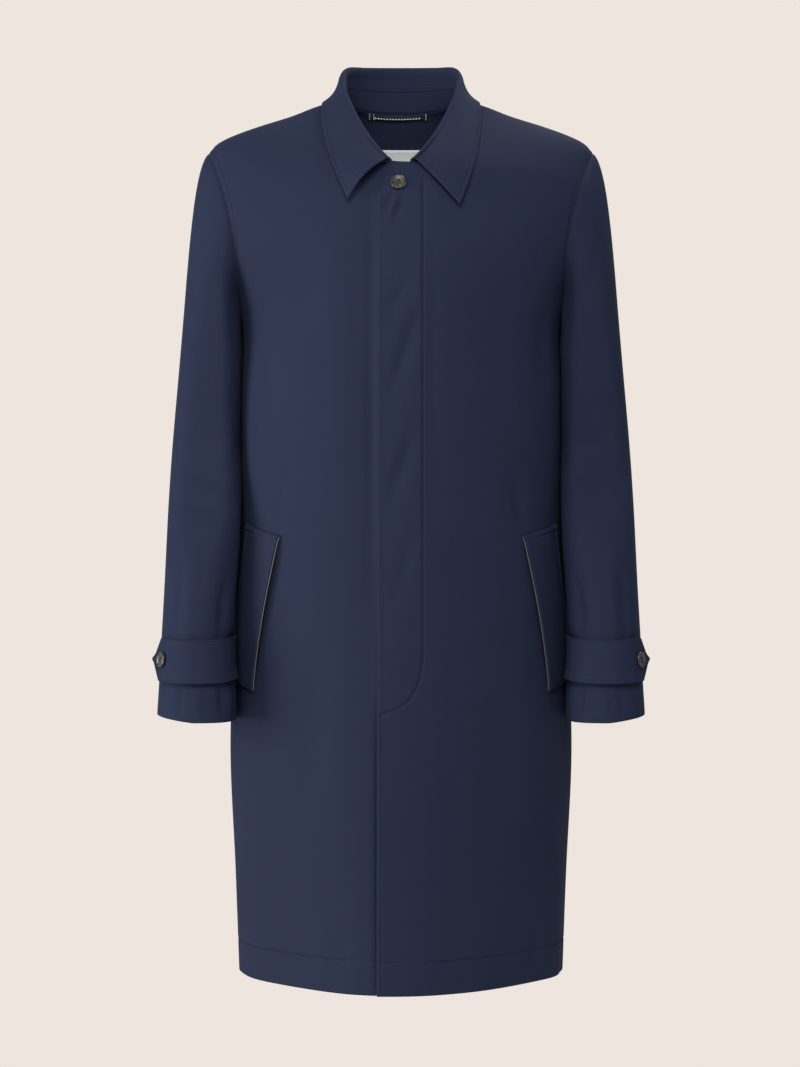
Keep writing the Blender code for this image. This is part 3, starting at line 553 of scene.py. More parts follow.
# %% From a crease's row to a lift
PATH_STEPS = 18
CREASE_STRENGTH, CREASE_FADE, CREASE_MARGIN = 1.5, 0.8, 3


def crease_path(row, place):
    """Points of a crease's path, on a smooth curve through its three places."""
    crease = dict(zip(CREASE_COLUMNS, row))
    start, bend, end = (np.array(crease[key], float) for key in CREASE_COLUMNS[:3])
    control = 2 * bend - (start + end) / 2
    t = np.linspace(0, 1, PATH_STEPS)[:, None]
    curve = (1 - t) ** 2 * start + 2 * t * (1 - t) * control + t * t * end
    return place(curve[:, 0], curve[:, 1]), crease


def crease_lift(points, rows, place):
    """How far each point sinks or rises for all the creases of a piece."""
    flat = points.reshape(-1, 3)
    lift = np.zeros(len(flat))
    for row in rows:
        path, crease = crease_path(row, place)
        margin = CREASE_MARGIN * crease["width"]
        near = ((flat > path.min(0) - margin) & (flat < path.max(0) + margin)).all(1)
        local = flat[near]
        best = np.full(len(local), np.inf)
        share = np.zeros(len(local))
        for n in range(PATH_STEPS - 1):
            step = path[n + 1] - path[n]
            t = np.clip((local - path[n]) @ step / (step @ step), 0, 1)
            away = np.linalg.norm(local - path[n] - t[:, None] * step, axis=1)
            closer = away < best
            best = np.where(closer, away, best)
            share = np.where(closer, (n + t) / (PATH_STEPS - 1), share)
        fade = np.sin(math.pi * np.clip(share, 0.0, 1.0)) ** CREASE_FADE
        lift[near] += hollow(best, crease["width"], crease["depth"] * CREASE_STRENGTH) * fade
    return lift.reshape(points.shape[:-1])


def front_place(x, z):
    return stacked(x, body_depth("front", np.abs(x), z), z)


def back_place(x, z):
    return stacked(x, body_depth("back", np.abs(x), z), z)


deepest = max(row[-1] for row in all_creases) * CREASE_STRENGTH
print("the deepest crease sinks", round(deepest * 1000, 2), "mm")

# %% [markdown]
# ## Fronts and back
# The left front carries the fly: a strip past the centre line that laps over the right front. Rows
# crowd together at the hem's stitching and columns at the fly's, so that the small dips there are
# real geometry and not only shading.

# %% Rows and columns shared by the panels
HEM_DEPTH = 0.037
HEM_STITCH_Z = HEM_Z + HEM_DEPTH
FLY_STITCH_X = 0.0240
EDGE_STITCH = 0.0040
FLY_TURN_Z, FLY_TURN_REACH = -0.682, 0.028
ROW_STEP, FINE_STEP, STITCH_STEP, FINE_REACH = 0.0070, 0.0012, 0.0011, 0.005
YOKE_ROWS, SOLID_ROWS = 71, 14
TIP_ROWS, TIP_SHARE, TIP_POWER = 16, 0.2, 1.7
COLUMN_STEP = 0.0165
COLUMN_MARKS = ((0.0, 0.0042, 0.10), (1.0, 0.005, 0.02))
LAP_COLUMNS = 22

trunk_marks = (
    (HEM_Z, FINE_STEP, FINE_REACH),
    (HEM_STITCH_Z, STITCH_STEP, FINE_REACH),
    (FLY_TURN_Z, FINE_STEP, FLY_TURN_REACH),
)
trunk_z = graded(HEM_Z, UNDERARM_Z, ROW_STEP, *trunk_marks)[:-1]
near_tip = 1 - np.linspace(TIP_SHARE, 0, TIP_ROWS) ** TIP_POWER
solid_rises = np.arange(SOLID_ROWS + 1) / SOLID_ROWS
rises = np.unique(np.concatenate([np.linspace(0, 1, YOKE_ROWS), near_tip, solid_rises]).round(6))
main_s = graded(0.0, 1.0, COLUMN_STEP, *COLUMN_MARKS)
lap_share = np.linspace(1, 0, LAP_COLUMNS + 1)[:-1]
# Each row's rise, or -1 below the underarm.
row_rise = np.concatenate([np.full(len(trunk_z), -1.0), rises])
print("rows", len(row_rise), "columns", len(main_s), "strip", len(lap_share))


def panel(face, s, side):
    """A panel's grid of points from hem to shoulder, for the columns s."""
    low = trunk_points(face, s[None, :], trunk_z[:, None], side)
    high = yoke_points(face, s[None, :], rises[:, None])
    return np.concatenate([low, handed(high, side)])


def yoke_grid(face):
    """The left panel's part above the underarm."""
    return panel(face, main_s, 1)[len(trunk_z):]


def lap_strip(side):
    """The strip that a front adds past the centre line."""
    centre_z = panel("front", np.zeros(1), side)[:, :, 2]
    curve = ease((centre_z - FLY_CURVE_Z) / (NECK_FRONT_Z - FLY_CURVE_Z))
    x = mix(FLY_EDGE_X, FLY_EDGE_AT_NECK_X, curve) * lap_share[None, :]
    return stacked(-side * x, body_depth("front", x, centre_z + 0 * x), centre_z)


# %% The fly's stitching
FLY_TOP_Z, FLY_STRAIGHT_END_Z = -0.112, -0.640
FLY_TURN = (
    (0.0225, -0.655), (0.0186, -0.6701), (0.0087, -0.6888), (-0.0056, -0.6986), (-0.0242, -0.7052),
)
FLY_STEPS, FLY_POINTS = 60, 240
LINE_REACH = 4
RIBBON = Vector((0, 1e-5, 1e-5))


def fly_line():
    """The places, seen from the front, of the fly's stitching down to where it turns to the edge."""
    straight_z = np.linspace(FLY_TOP_Z, FLY_STRAIGHT_END_Z, FLY_STEPS)
    straight = np.stack([np.full(FLY_STEPS, FLY_STITCH_X), straight_z], 1)
    places = np.concatenate([straight, np.array(FLY_TURN)])
    smooth = Table(("d", "x", "z"), np.column_stack([np.arange(len(places)), places]))
    found = smooth.at(np.linspace(0, len(places) - 1, FLY_POINTS))
    return found["x"], found["z"]


def line_lift(points, path, width, depth):
    """A narrow trough along a line of points."""
    tree = BVHTree.FromPolygons(
        [Vector(p) for p in path] + [Vector(p) + RIBBON for p in path],
        [(n, n + 1, n + 1 + len(path), n + len(path)) for n in range(len(path) - 1)],
    )
    margin = LINE_REACH * width
    flat = points.reshape(-1, 3)
    lift = np.zeros(len(flat))
    near = ((flat > path.min(0) - margin) & (flat < path.max(0) + margin)).all(1)
    for n in np.flatnonzero(near):
        found = tree.find_nearest(Vector(flat[n]), margin)
        if found[0] is not None:
            lift[n] = hollow(found[3], width, depth)
    return lift.reshape(points.shape[:-1])


print("the fly's row ends at", np.round(np.array(fly_line())[:, -1], 4))

# %% The two fronts
UNDER_EDGE_RISE = 0.0042
UNDER_EDGE_X, UNDER_EDGE_FADE = 0.011, 0.005
UNDER_EDGE_Z, UNDER_EDGE_REACH = -0.115, 0.020
ARMHOLE_STITCH = 0.006
FLY_DEPTH = 0.0013
FLY_END_Z, FLY_END_FADE = -0.700, 0.010
FLY_SWELL_INSET, FLY_SWELL = 0.002, (0.003, 0.0005)
LOW_EDGE_PUFF, LOW_EDGE_SHARE = 0.0008, 0.4
LOW_EDGE_SWELL = (0.010, 0.0012)


def front_piece(name, side, creases):
    """A front with its lap, seams, stitched rows and creases."""
    grid = lapped(np.concatenate([lap_strip(side), panel("front", main_s, side)], axis=1), side)
    if side < 0:
        beside = 1 - ease((np.abs(grid[..., 0]) - UNDER_EDGE_X) / UNDER_EDGE_FADE)
        grid[..., 2] += UNDER_EDGE_RISE * beside * ease((grid[..., 2] - UNDER_EDGE_Z) / UNDER_EDGE_REACH)
    keep = np.ones((grid.shape[0] - 1, grid.shape[1] - 1), bool)
    keep[:, :len(lap_share)] = (row_rise[1:] <= NECK_RISE["front"] + 1e-9)[:, None]
    from_side = reach(grid, 1, True)
    lift = crease_lift(grid, creases + CREST + UNDERARM_CREASES, front_place) + seam(from_side)
    lift = lift + np.where((row_rise >= 0)[:, None], stitched(from_side - ARMHOLE_STITCH), 0)
    lift = lift + stitched(grid[..., 2] - HEM_STITCH_Z) + seam(reach(grid, 0, True))
    if side > 0:
        from_edge = reach(grid, 1)
        below = ease((FLY_END_Z - grid[..., 2]) / FLY_END_FADE)
        lift = lift + line_lift(grid, on_front(*fly_line()), STITCH_WIDTH, FLY_DEPTH)
        lift = lift + stitched_edge(from_edge, EDGE_STITCH, LOW_EDGE_PUFF) * below * LOW_EDGE_SHARE
        lift = lift + ridge(from_edge - FLY_SWELL_INSET, *FLY_SWELL) * (1 - below)
        lift = lift + ridge(from_edge, *LOW_EDGE_SWELL) * below
    return cloth(name, grid, lift, keep, flip=side < 0)


front_left = front_piece("cloth_front_left", 1, LEFT_FRONT_CREASES)
front_right = front_piece("cloth_front_right", -1, RIGHT_FRONT_CREASES)

# %% The back


def back_piece():
    """Both halves in one grid, with two columns at the centre that part above the back neck."""
    right = panel("back", main_s[::-1], -1)
    left = panel("back", main_s, 1)
    grid = np.concatenate([right, left], axis=1)
    keep = np.ones((grid.shape[0] - 1, grid.shape[1] - 1), bool)
    keep[:, len(main_s) - 1] = False
    lift = crease_lift(grid, BACK_CREASES + UNDERARM_CREASES, back_place)
    side = np.concatenate([reach(right, 1), reach(left, 1, True)], axis=1)
    lift = lift + seam(side) + seam(reach(grid, 0, True))
    lift = lift + stitched(grid[..., 2] - HEM_STITCH_Z)
    return cloth("cloth_back", grid, lift, keep, flip=True)


back = back_piece()

# %% [markdown]
# ## Sleeves
# Each sleeve starts on the armhole's own points, so the seam closes, and flows into a slightly bent
# tube. Flattened cloth is squarer in section than an ellipse, most of all on the side that lies
# against the body, and rounder at the cuff. The left sleeve is worked out, and the right one is its
# mirror image.

# %% Sleeve surface
SLEEVE_COLUMNS = ("z", "centre_x", "centre_y", "half_width", "half_depth")
SLEEVE = (
    (-0.310, 0.2217, 0.022, 0.0350, 0.0750),
    (-0.420, 0.2262, 0.025, 0.0406, 0.0690),
    (-0.500, 0.2271, -0.012, 0.0412, 0.0645),
    (-0.620, 0.2310, -0.046, 0.0412, 0.0595),
    (-0.716, 0.2312, -0.060, 0.0447, 0.0580),
)
ARM_TOP_Z, CUFF_Z = SLEEVE[0][0], SLEEVE[-1][0]
OUTER_SQUARE, INNER_SQUARE = 0.60, 0.40
SLEEVE_TILT = 0.16
CUFF_SQUARE, CUFF_INNER_SQUARE = 0.96, 0.72
SQUARE_END_Z, SQUARE_FADE = -0.60, 0.13
CUFF_SLOPE, CUFF_SLOPE_Z = 0.006, -0.672
sleeve_table = Table(SLEEVE_COLUMNS, SLEEVE)


def squared(angle, z):
    """Cosine and sine for a section squarer than an ellipse, most on the inner side."""
    cosine, sine = np.cos(angle), np.sin(angle)
    above = ease((z - SQUARE_END_Z) / SQUARE_FADE)
    outer = mix(CUFF_SQUARE, OUTER_SQUARE, above)
    power = np.where(cosine < 0, mix(CUFF_INNER_SQUARE, INNER_SQUARE, above), outer)
    return np.sign(cosine) * np.abs(cosine) ** power, np.sign(sine) * np.abs(sine) ** power


def arm_points(angle, z):
    """Points of the left sleeve's tube. angle is 0 on the outside and pi / 2 at the front."""
    level = sleeve_table.at(z)
    across, forward = squared(angle, z)
    x = level["centre_x"] + level["half_width"] * across
    tilt = SLEEVE_TILT * ease((z - SQUARE_END_Z) / SQUARE_FADE) * np.maximum(np.sin(angle), 0)
    y = level["centre_y"] - level["half_depth"] * forward + tilt * level["half_width"] * across
    slope = CUFF_SLOPE * ease((CUFF_SLOPE_Z - z) / (CUFF_SLOPE_Z - CUFF_Z))
    return stacked(x, y, z + slope * np.maximum(across, 0))


def arm_place(angle_deg, z):
    return arm_points(np.radians(angle_deg), z)


print("front of the left cuff", np.round(arm_place(90.0, CUFF_Z), 4))

# %% Sleeve cap
UNDERARM_DROP = 0.45
CAP_OUT, CAP_OUT_FRONT, CAP_OUT_TOP = 0.60, 0.25, 0.12
CAP_FORWARD = 0.25
CAP_DOWN, CAP_DOWN_FRONT, CAP_DOWN_TOP = 0.80, 0.35, 0.11
CAP_LEAVE, CAP_LEAVE_TOP = 0.052, 0.026
CAP_ARRIVE, CAP_ARRIVE_TOP = 1.2, 0.3
ARM_PROBE = 0.005
SEAM_ALLOWANCE, ALLOWANCE_DEPTH = 0.005, CLOTH * 1.3


def cap_points(start, angle, t):
    """Points of the sleeve's cap, on curves from the armhole (t 0) to the top of the arm (t 1)."""
    end = arm_points(angle, np.full(np.shape(angle), ARM_TOP_Z))
    sine, cosine = np.sin(angle), np.cos(angle)
    leave = stacked(
        CAP_OUT + CAP_OUT_FRONT * sine * sine + CAP_OUT_TOP * cosine - UNDERARM_DROP * np.maximum(-cosine, 0),
        -CAP_FORWARD * sine,
        -(CAP_DOWN - CAP_DOWN_FRONT * sine * sine - CAP_DOWN_TOP * cosine),
    )
    leave = unit(leave) * (CAP_LEAVE + CAP_LEAVE_TOP * cosine)[..., None]
    down = unit(arm_points(angle, np.full(np.shape(angle), ARM_TOP_Z - ARM_PROBE)) - end)
    span = np.linalg.norm(end - start, axis=-1)
    arrive = down * (span * (CAP_ARRIVE + CAP_ARRIVE_TOP * np.maximum(cosine, 0)))[..., None]
    t = t[:, None, None]
    low = start * ((1 + 2 * t) * (1 - t) ** 2) + leave * (t * (1 - t) ** 2)
    return low + end * (t * t * (3 - 2 * t)) - arrive * (t * t * (1 - t))


def tucked(face):
    """The line where the sleeve's seam allowance ends, behind the armhole's edge."""
    grid = yoke_grid(face)
    normals = grid_normals(grid, flip=face == "back")
    return inset_line(grid - normals * ALLOWANCE_DEPTH, 1, True, SEAM_ALLOWANCE)


print("seam allowance", SEAM_ALLOWANCE * 1000, "mm, tucked in by", ALLOWANCE_DEPTH * 1000, "mm")

# %% The two sleeves
CAP_STEP, CAP_MARK = 0.035, (0.0, 0.009, 0.05)
ARM_STEP, CUFF_STEP, CUFF_REACH = 0.0060, 0.0015, 0.005
STRAP_END_Z = -0.6445
STRAP_SAG = 0.0050
STRAP_HALF_HEIGHT = 0.0240
STRAP_START_DEG = 178.0
PINCH_PAST, PINCH_FROM, PINCH_FADE = 0.1, 0.45, 0.3
PINCH_INSET, PINCH_WIDTH, PINCH_DEPTH = 0.0015, 0.0045, 0.0022
PINCH_DRAW, PINCH_DRAW_FADE = 0.0009, 0.004
PINCH_TOP = 0.06


def sleeve_grid():
    """The left sleeve's points, from the seam allowance over the cap to the cuff, and their angles."""
    falling = rises[::-1]
    allowance = np.concatenate([tucked("front")[::-1], tucked("back")[1:-1]])
    start = np.concatenate([armhole("front", falling), armhole("back", rises[1:-1])])
    angle = np.concatenate([armhole_angle(falling), 2 * math.pi - armhole_angle(rises[1:-1])])
    cap = cap_points(start, angle, graded(0.0, 1.0, CAP_STEP, CAP_MARK)[:-1])
    arm_z = -graded(-ARM_TOP_Z, -CUFF_Z, ARM_STEP, (-CUFF_Z, CUFF_STEP, CUFF_REACH))
    arm = arm_points(angle[None, :], arm_z[:, None])
    return np.concatenate([allowance[None], cap, arm]), angle


def strap_pinch(z, angle):
    """How a sleeve is drawn in under its strap, and dips at the strap's two edges."""
    past_edge = np.abs(z - (STRAP_END_Z - STRAP_SAG * np.sin(angle))) - STRAP_HALF_HEIGHT
    last = math.radians(STRAP_START_DEG) + PINCH_PAST
    under = ease((last - angle) / PINCH_FADE) * ease((angle - PINCH_FROM) / PINCH_FADE)
    drawn = PINCH_DRAW * (1 - ease(past_edge / PINCH_DRAW_FADE))
    dip = hollow(past_edge - PINCH_INSET, PINCH_WIDTH, PINCH_DEPTH) - drawn
    return np.where(z < STRAP_END_Z + PINCH_TOP, dip * under, 0.0)


def sleeve_piece(name, side):
    grid, angle = sleeve_grid()
    lift = crease_lift(grid, SLEEVE_CREASES, arm_place) + strap_pinch(grid[..., 2], angle[None, :])
    down = reach(grid, 0)
    lift = lift + seam(down - down[1])
    return cloth(name, handed(grid, side), lift, closed=True, flip=side < 0)


sleeve_left = sleeve_piece("cloth_sleeve_left", 1)
sleeve_right = sleeve_piece("cloth_sleeve_right", -1)

# %% [markdown]
# ## Collar
# The collar is a stand that rises from the neckline and a leaf that rolls over it. At each station
# round the neck a smooth section runs from the neckline up, over the roll and down to the free edge.
# The fall is then lifted clear of the panels that it lies on. On the wearer's right the leaf's front
# edge hollows and stands off a little. One more row close to the seam between stand and leaf keeps
# the turn of the shading at the seam.

# %% The collar's table
COLLAR_COLUMNS = ("turn", "roll_x", "roll_y", "roll_z", "edge_x", "edge_y", "edge_z", "bulge")
COLLAR = (
    (1.000, 0.0000, 0.0740, 0.0507, 0.0000, 0.0960, -0.0180, 0.004),
    (0.800, 0.0385, 0.0630, 0.0484, 0.0520, 0.0860, -0.0180, 0.002),
    (0.650, 0.0595, 0.0410, 0.0432, 0.0790, 0.0520, -0.0120, -0.001),
    (0.500, 0.0620, 0.0150, 0.0200, 0.0905, 0.0080, -0.0045, -0.002),
    (0.350, 0.0545, -0.0140, -0.0075, 0.0905, -0.0330, -0.0370, 0.000),
    (0.250, 0.0410, -0.0440, -0.0385, 0.0840, -0.0650, -0.0700, 0.003),
    (0.135, 0.0235, -0.0760, -0.0690, 0.0715, -0.0990, -0.1060, 0.004),
    (0.0487, 0.0120, -0.0915, -0.0840, 0.0585, -0.1160, -0.1360, 0.004),
)
COLLAR_FIRST_TURN = 0.5 * (1 / 7) ** NECK_EASE
past_back = np.array((-1, -1, 1, 1, -1, 1, 1, 1)) * np.array(COLLAR[1:3])
past_back[:, 0] += 2
collar_table = Table(COLLAR_COLUMNS, list(COLLAR) + past_back.tolist())
print("the collar's roll at centre back is at", collar_table.at(1.0)["roll_z"])

# %% Lines of a section
CURL_UP, CURL_OFF, CURL_REACH = 0.0040, 0.0042, 0.14
CURL_SHARE, CURL_EARLY = 0.7, 0.8
SEAM_ROW = 0.18
TOUCHING = 1e-4


def curled(t):
    """How the right leaf's front edge hollows upwards and stands off the front, most at its middle."""
    up = CURL_UP * np.sin(math.pi * t)
    off = -CURL_OFF * np.sin(math.pi * t ** CURL_EARLY)
    return np.concatenate([CURL_SHARE * up, off, CURL_SHARE * up], axis=1)


def with_close_row(line, last):
    """A section with one more point close to its last or first one."""
    if last:
        return np.concatenate([line[:-1], [mix(line[-1], line[-2], SEAM_ROW)], line[-1:]])
    return np.concatenate([line[:1], [mix(line[0], line[1], SEAM_ROW)], line[1:]])


def section_line(controls, steps):
    """A smooth line through a section's control points, with a count of steps in each interval."""
    knots = np.concatenate([[0], np.cumsum(np.linalg.norm(np.diff(controls, axis=0), axis=1))])
    line = Table(("d", "x", "y", "z"), np.column_stack([knots, controls]))
    places = [np.linspace(knots[n], knots[n + 1], count + 1)[:-1] for n, count in enumerate(steps)]
    found = line.at(np.concatenate(places + [knots[-1:]]))
    return stacked(found["x"], found["y"], found["z"])


def lifted_off(points, tree, clear):
    """The points, moved out where they come too near to the body's panels."""
    moved = []
    for point, gap in zip(points, clear):
        place, normal, _, _ = tree.find_nearest(Vector(point))
        away = Vector(point) - place
        out = away.normalized() if away.dot(normal) > TOUCHING else normal
        moved.append(np.array(place + out * gap) if away.dot(out) < gap else point)
    return np.array(moved)


print("the right leaf's edge curls by", np.round(curled(np.array([[0.5]])), 4))

# %% Collar sections
UP, FORWARD = np.array((0, 0, 1.0)), np.array((0, -1.0, 0))
LONGER_TIP, TIP_END_TURN = np.array((0.007, -0.001, -0.006)), 0.45
STAND_SHARE, STAND_OUT, STAND_STEPS = 0.45, 0.001, (5, 5)
TUCK_IN, TUCK_DOWN, TUCK_TURN = 0.0025, 0.0040, 0.3
ROLL_RADIUS, ROLL_RADIUS_AT_FRONT, ROLL_TURN = 0.0030, 0.0012, 0.35
ROLL_CRISP = 0.65
SWELL_UP, SWELL_TURN = 0.6, 0.25
FALL_POINTS = 6
LEAF_MIDDLE, LEAF_STEPS = 0.55, (3, 4, 4, 4, 3, 3, 3, 3, 4, 10)
FALL_CLEAR, EDGE_CLEAR = 0.0023, 0.0013
CLEAR_FROM, CLEAR_TO, CLEAR_FADE = 0.30, 0.74, 0.12


def collar_section(turn, side, body):
    """The collar's under side from the neckline to the free edge, at one station."""
    row = collar_table.at(turn)
    neck = neckline(turn)
    roll = np.array([row["roll_x"], row["roll_y"], row["roll_z"]])
    edge = np.array([row["edge_x"], row["edge_y"], row["edge_z"]])
    if side > 0:
        edge = edge + LONGER_TIP * (1 - ease(turn / TIP_END_TURN))
    out = unit((edge - roll) * np.array((1, 1, 0)))
    stand_top = mix(neck, roll, STAND_SHARE) + out * STAND_OUT
    solid_radius = mix(ROLL_RADIUS_AT_FRONT, ROLL_RADIUS, ease(turn / ROLL_TURN))
    radius = solid_radius * ROLL_CRISP
    roll = roll + out * 2 * (solid_radius - radius)
    inside = roll + out * CLOTH - UP * (CLOTH + radius)
    top = roll + out * (CLOTH + radius) - UP * CLOTH
    outside = roll + out * (CLOTH + 2 * radius) - UP * (CLOTH + radius)
    t = np.arange(1, FALL_POINTS + 1)[:, None] / FALL_POINTS
    swell = unit(mix(FORWARD, out + SWELL_UP * UP, ease(turn / SWELL_TURN)))
    fall = mix(outside, edge, t) + swell * row["bulge"] * np.sin(math.pi * t)
    if side < 0:
        fall = fall + curled(t) * (1 - ease((turn - COLLAR_FIRST_TURN) / CURL_REACH))
    beside = ease((turn - CLEAR_FROM) / CLEAR_FADE) * ease((CLEAR_TO - turn) / CLEAR_FADE)
    clear = mix(FALL_CLEAR, EDGE_CLEAR, beside * t[:, 0] ** 2)
    fall = handed(lifted_off(handed(fall, side), body, clear), side)
    start = handed(lapped(handed(neck[None, :], side), side)[0], side)
    start = start - (out * TUCK_IN + UP * TUCK_DOWN) * (1 - ease(turn / TUCK_TURN))
    stand = section_line(np.array([start, mix(neck, stand_top, 0.5), stand_top]), STAND_STEPS)
    middle = mix(stand_top, inside, LEAF_MIDDLE)
    leaf = section_line(np.concatenate([[stand_top, middle, inside, top, outside], fall]), LEAF_STEPS)
    return handed(with_close_row(stand, True), side), handed(with_close_row(leaf, False), side)


print("points in a section of the leaf:", sum(LEAF_STEPS) + 2)

# %% Stand and leaf
STATION_STEP, STATION_FINE, STATION_REACH = 0.011, 0.003, 0.015
LEAF_SMOOTHING, SMOOTHING_SHARE = 14, 0.25
COLLAR_STITCH, COLLAR_PUFF = 0.0050, 0.0006
FALL_FROM, FALL_BLEND = 0.42, 6
SHOULDER_TURN, SHOULDER_PRESS, SHOULDER_SPREAD = 0.5, 0.9, 0.09


def collar_pieces():
    """The stand and the leaf, and the leaf's grid for its rows of stitches."""
    half = graded(COLLAR_FIRST_TURN, 1.0, STATION_STEP, (COLLAR_FIRST_TURN, STATION_FINE, STATION_REACH))
    body = outside_of(front_left, front_right, back)
    stations = [collar_section(t, 1, body) for t in half]
    stations += [collar_section(t, -1, body) for t in half[-2::-1]]
    stand = np.array([station[0] for station in stations])
    under = np.array([station[1] for station in stations])
    for _ in range(LEAF_SMOOTHING):
        under[1:-1] += SMOOTHING_SHARE * (under[:-2] - 2 * under[1:-1] + under[2:])
    leaf = under - grid_normals(under, flip=True) * CLOTH
    from_edge = np.minimum(reach(leaf, 1, True), np.minimum(reach(leaf, 0), reach(leaf, 0, True)))
    columns = leaf.shape[1]
    fall = ease((np.arange(columns) - columns * FALL_FROM) / FALL_BLEND)[None, :]
    turns = np.concatenate([half, half[-2::-1]])[:, None]
    pressed = 1 - SHOULDER_PRESS * np.exp(-(((turns - SHOULDER_TURN) / SHOULDER_SPREAD) ** 2))
    lift = stitched_edge(from_edge, COLLAR_STITCH, COLLAR_PUFF) * fall * pressed
    stand_piece = cloth("cloth_collar_stand", stand, 0.0, flip=True)
    return stand_piece, cloth("cloth_collar_leaf", leaf, lift), leaf


collar_stand, collar_leaf, leaf_grid = collar_pieces()

# %% [markdown]
# ## Pocket welts and cuff straps
# A welt is a strip that is sewn onto the front with its mouth towards the middle. It is the front's
# own surface moved out, so it follows every dent, and its mouth gapes a little between its ends. The
# strap is the sleeve's surface moved out, until it leaves the sleeve along a tangent and ends in a
# point.

# %% Welts
WELT_FRONT_TOP_DEG, WELT_FRONT_BOTTOM_DEG = 46.6, 57.4
WELT_WIDTH_DEG = 23.0
WELT_TOP_Z, WELT_BOTTOM_Z = -0.508, -0.685
WELT_BACK_RISE = 0.013
WELT_WALL = 0.0020
WELT_GAPE, GAPE_POWER, GAPE_FORWARD = 0.0066, 0.5, 0.40
WELT_STITCH, WELT_PUFF = 0.0068, 0.0010
WELT_SIDE_STITCH, WELT_SIDE_PUFF = 0.0040, 0.0009
MOUTH_INSET, MOUTH_SWELL = 0.002, (0.003, 0.0004)
WELT_ACROSS = (0.030, (0.0, 0.016, 0.1), (1.0, 0.016, 0.12))
WELT_DOWN = (0.020, (0.0, 0.006, 0.06), (1.0, 0.008, 0.03))


def welt_points(across, down):
    """Places of the left welt on the front, across from the mouth and down from the top."""
    angle = mix(WELT_FRONT_TOP_DEG, WELT_FRONT_BOTTOM_DEG, down) + WELT_WIDTH_DEG * across
    z = mix(WELT_TOP_Z, WELT_BOTTOM_Z, down) + WELT_BACK_RISE * across
    return angle, z


def welt_base(side, across, down):
    """Points of a front below a welt, with its creases and the mouth's gape, and their normals."""
    across, down = across[None, :], down[:, None]
    angle, z = welt_points(across, down)
    base = trunk_points("front", angle / 90.0, z, side)
    normals = grid_normals(base, flip=side > 0)
    creases = LEFT_FRONT_CREASES if side > 0 else RIGHT_FRONT_CREASES
    gape = WELT_GAPE * (1 - np.clip(across, 0, 1)) * np.sin(math.pi * np.clip(down, 0, 1)) ** GAPE_POWER
    forward = unit(mix(normals, FORWARD, GAPE_FORWARD))
    sunk = base + normals * crease_lift(base, creases, front_place)[..., None]
    return sunk + forward * gape[..., None], normals


def welt_grid(side, across, down):
    """A welt's outer side, at places across and down."""
    base, normals = welt_base(side, across, down)
    return base + normals * (WELT_WALL + REST_GAP)


def welt_piece(name, side):
    grid = welt_grid(side, graded(0.0, 1.0, *WELT_ACROSS), graded(0.0, 1.0, *WELT_DOWN))
    lift = stitched_edge(reach(grid, 0), WELT_STITCH, WELT_PUFF)
    lift = lift + stitched_edge(reach(grid, 1, True), WELT_SIDE_STITCH, WELT_SIDE_PUFF)
    lift = lift + ridge(reach(grid, 1) - MOUTH_INSET, *MOUTH_SWELL)
    return cloth(name, grid, lift, flip=side > 0, thick=WELT_WALL)


welt_left = welt_piece("cloth_pocket_welt_left", 1)
welt_right = welt_piece("cloth_pocket_welt_right", -1)

# %% Straps
STRAP_LEAVES_DEG = 40.0
STRAP_TAIL = 0.0240
STRAP_POINT = 0.0165
STRAP_BLUNT = 0.0015
STRAP_WALL, STRAP_GAP = 0.0017, 0.0006
STRAP_OUT = STRAP_WALL + STRAP_GAP
STRAP_STITCH = 0.0030
SECOND_ROW, SECOND_ROW_DEPTH = 0.0070, 0.0004
LOWER_FLARE, UPPER_FLARE = (0.0080, 0.0024), (0.0060, 0.0013)
WRAP_STEP_DEG, TAIL_STEP = 2.2, 0.0011
EDGE_BAND, EDGE_COUNT, MIDDLE_COUNT = 0.6, 10, 9
PROBE = 1e-4


def strap_place(angle, past, height, out):
    """Points of the left strap: round the sleeve by angle, then past metres on, at a share of its height."""
    to_tip = STRAP_TAIL - past
    share = np.where(past > 0, np.clip(to_tip / STRAP_POINT, 0, 1), 1.0)
    half = np.maximum(STRAP_HALF_HEIGHT * share, STRAP_BLUNT)
    z = STRAP_END_Z - STRAP_SAG * np.sin(angle) + half * height
    base = arm_points(angle, z)
    ahead = unit(arm_points(angle - PROBE, z) - base)
    up = unit(arm_points(angle, z + PROBE) - base)
    normal = unit(np.cross(up, ahead))
    level = sleeve_table.at(z)
    middle = stacked(level["centre_x"], level["centre_y"], z)
    normal = normal * np.sign(((base - middle) * normal).sum(-1, keepdims=True))
    return base + normal * np.asarray(out)[..., None] + ahead * np.asarray(past)[..., None], normal


def strap_grid():
    """The left strap's outer side, from the back of the sleeve round to its point."""
    wrapped = np.radians(graded(-STRAP_START_DEG, -STRAP_LEAVES_DEG, WRAP_STEP_DEG) * -1)
    tail = graded(0.0, STRAP_TAIL, TAIL_STEP)[1:]
    angle = np.concatenate([wrapped, np.full(len(tail), wrapped[-1])])
    past = np.concatenate([np.zeros(len(wrapped)), tail])
    heights = np.concatenate([
        np.linspace(-1, -EDGE_BAND, EDGE_COUNT)[:-1],
        np.linspace(-EDGE_BAND, EDGE_BAND, MIDDLE_COUNT),
        np.linspace(EDGE_BAND, 1, EDGE_COUNT)[1:],
    ])
    angle, past, heights = np.broadcast_arrays(angle[:, None], past[:, None], heights[None, :])
    return strap_place(angle, past, heights, np.full(heights.shape, STRAP_OUT))[0]


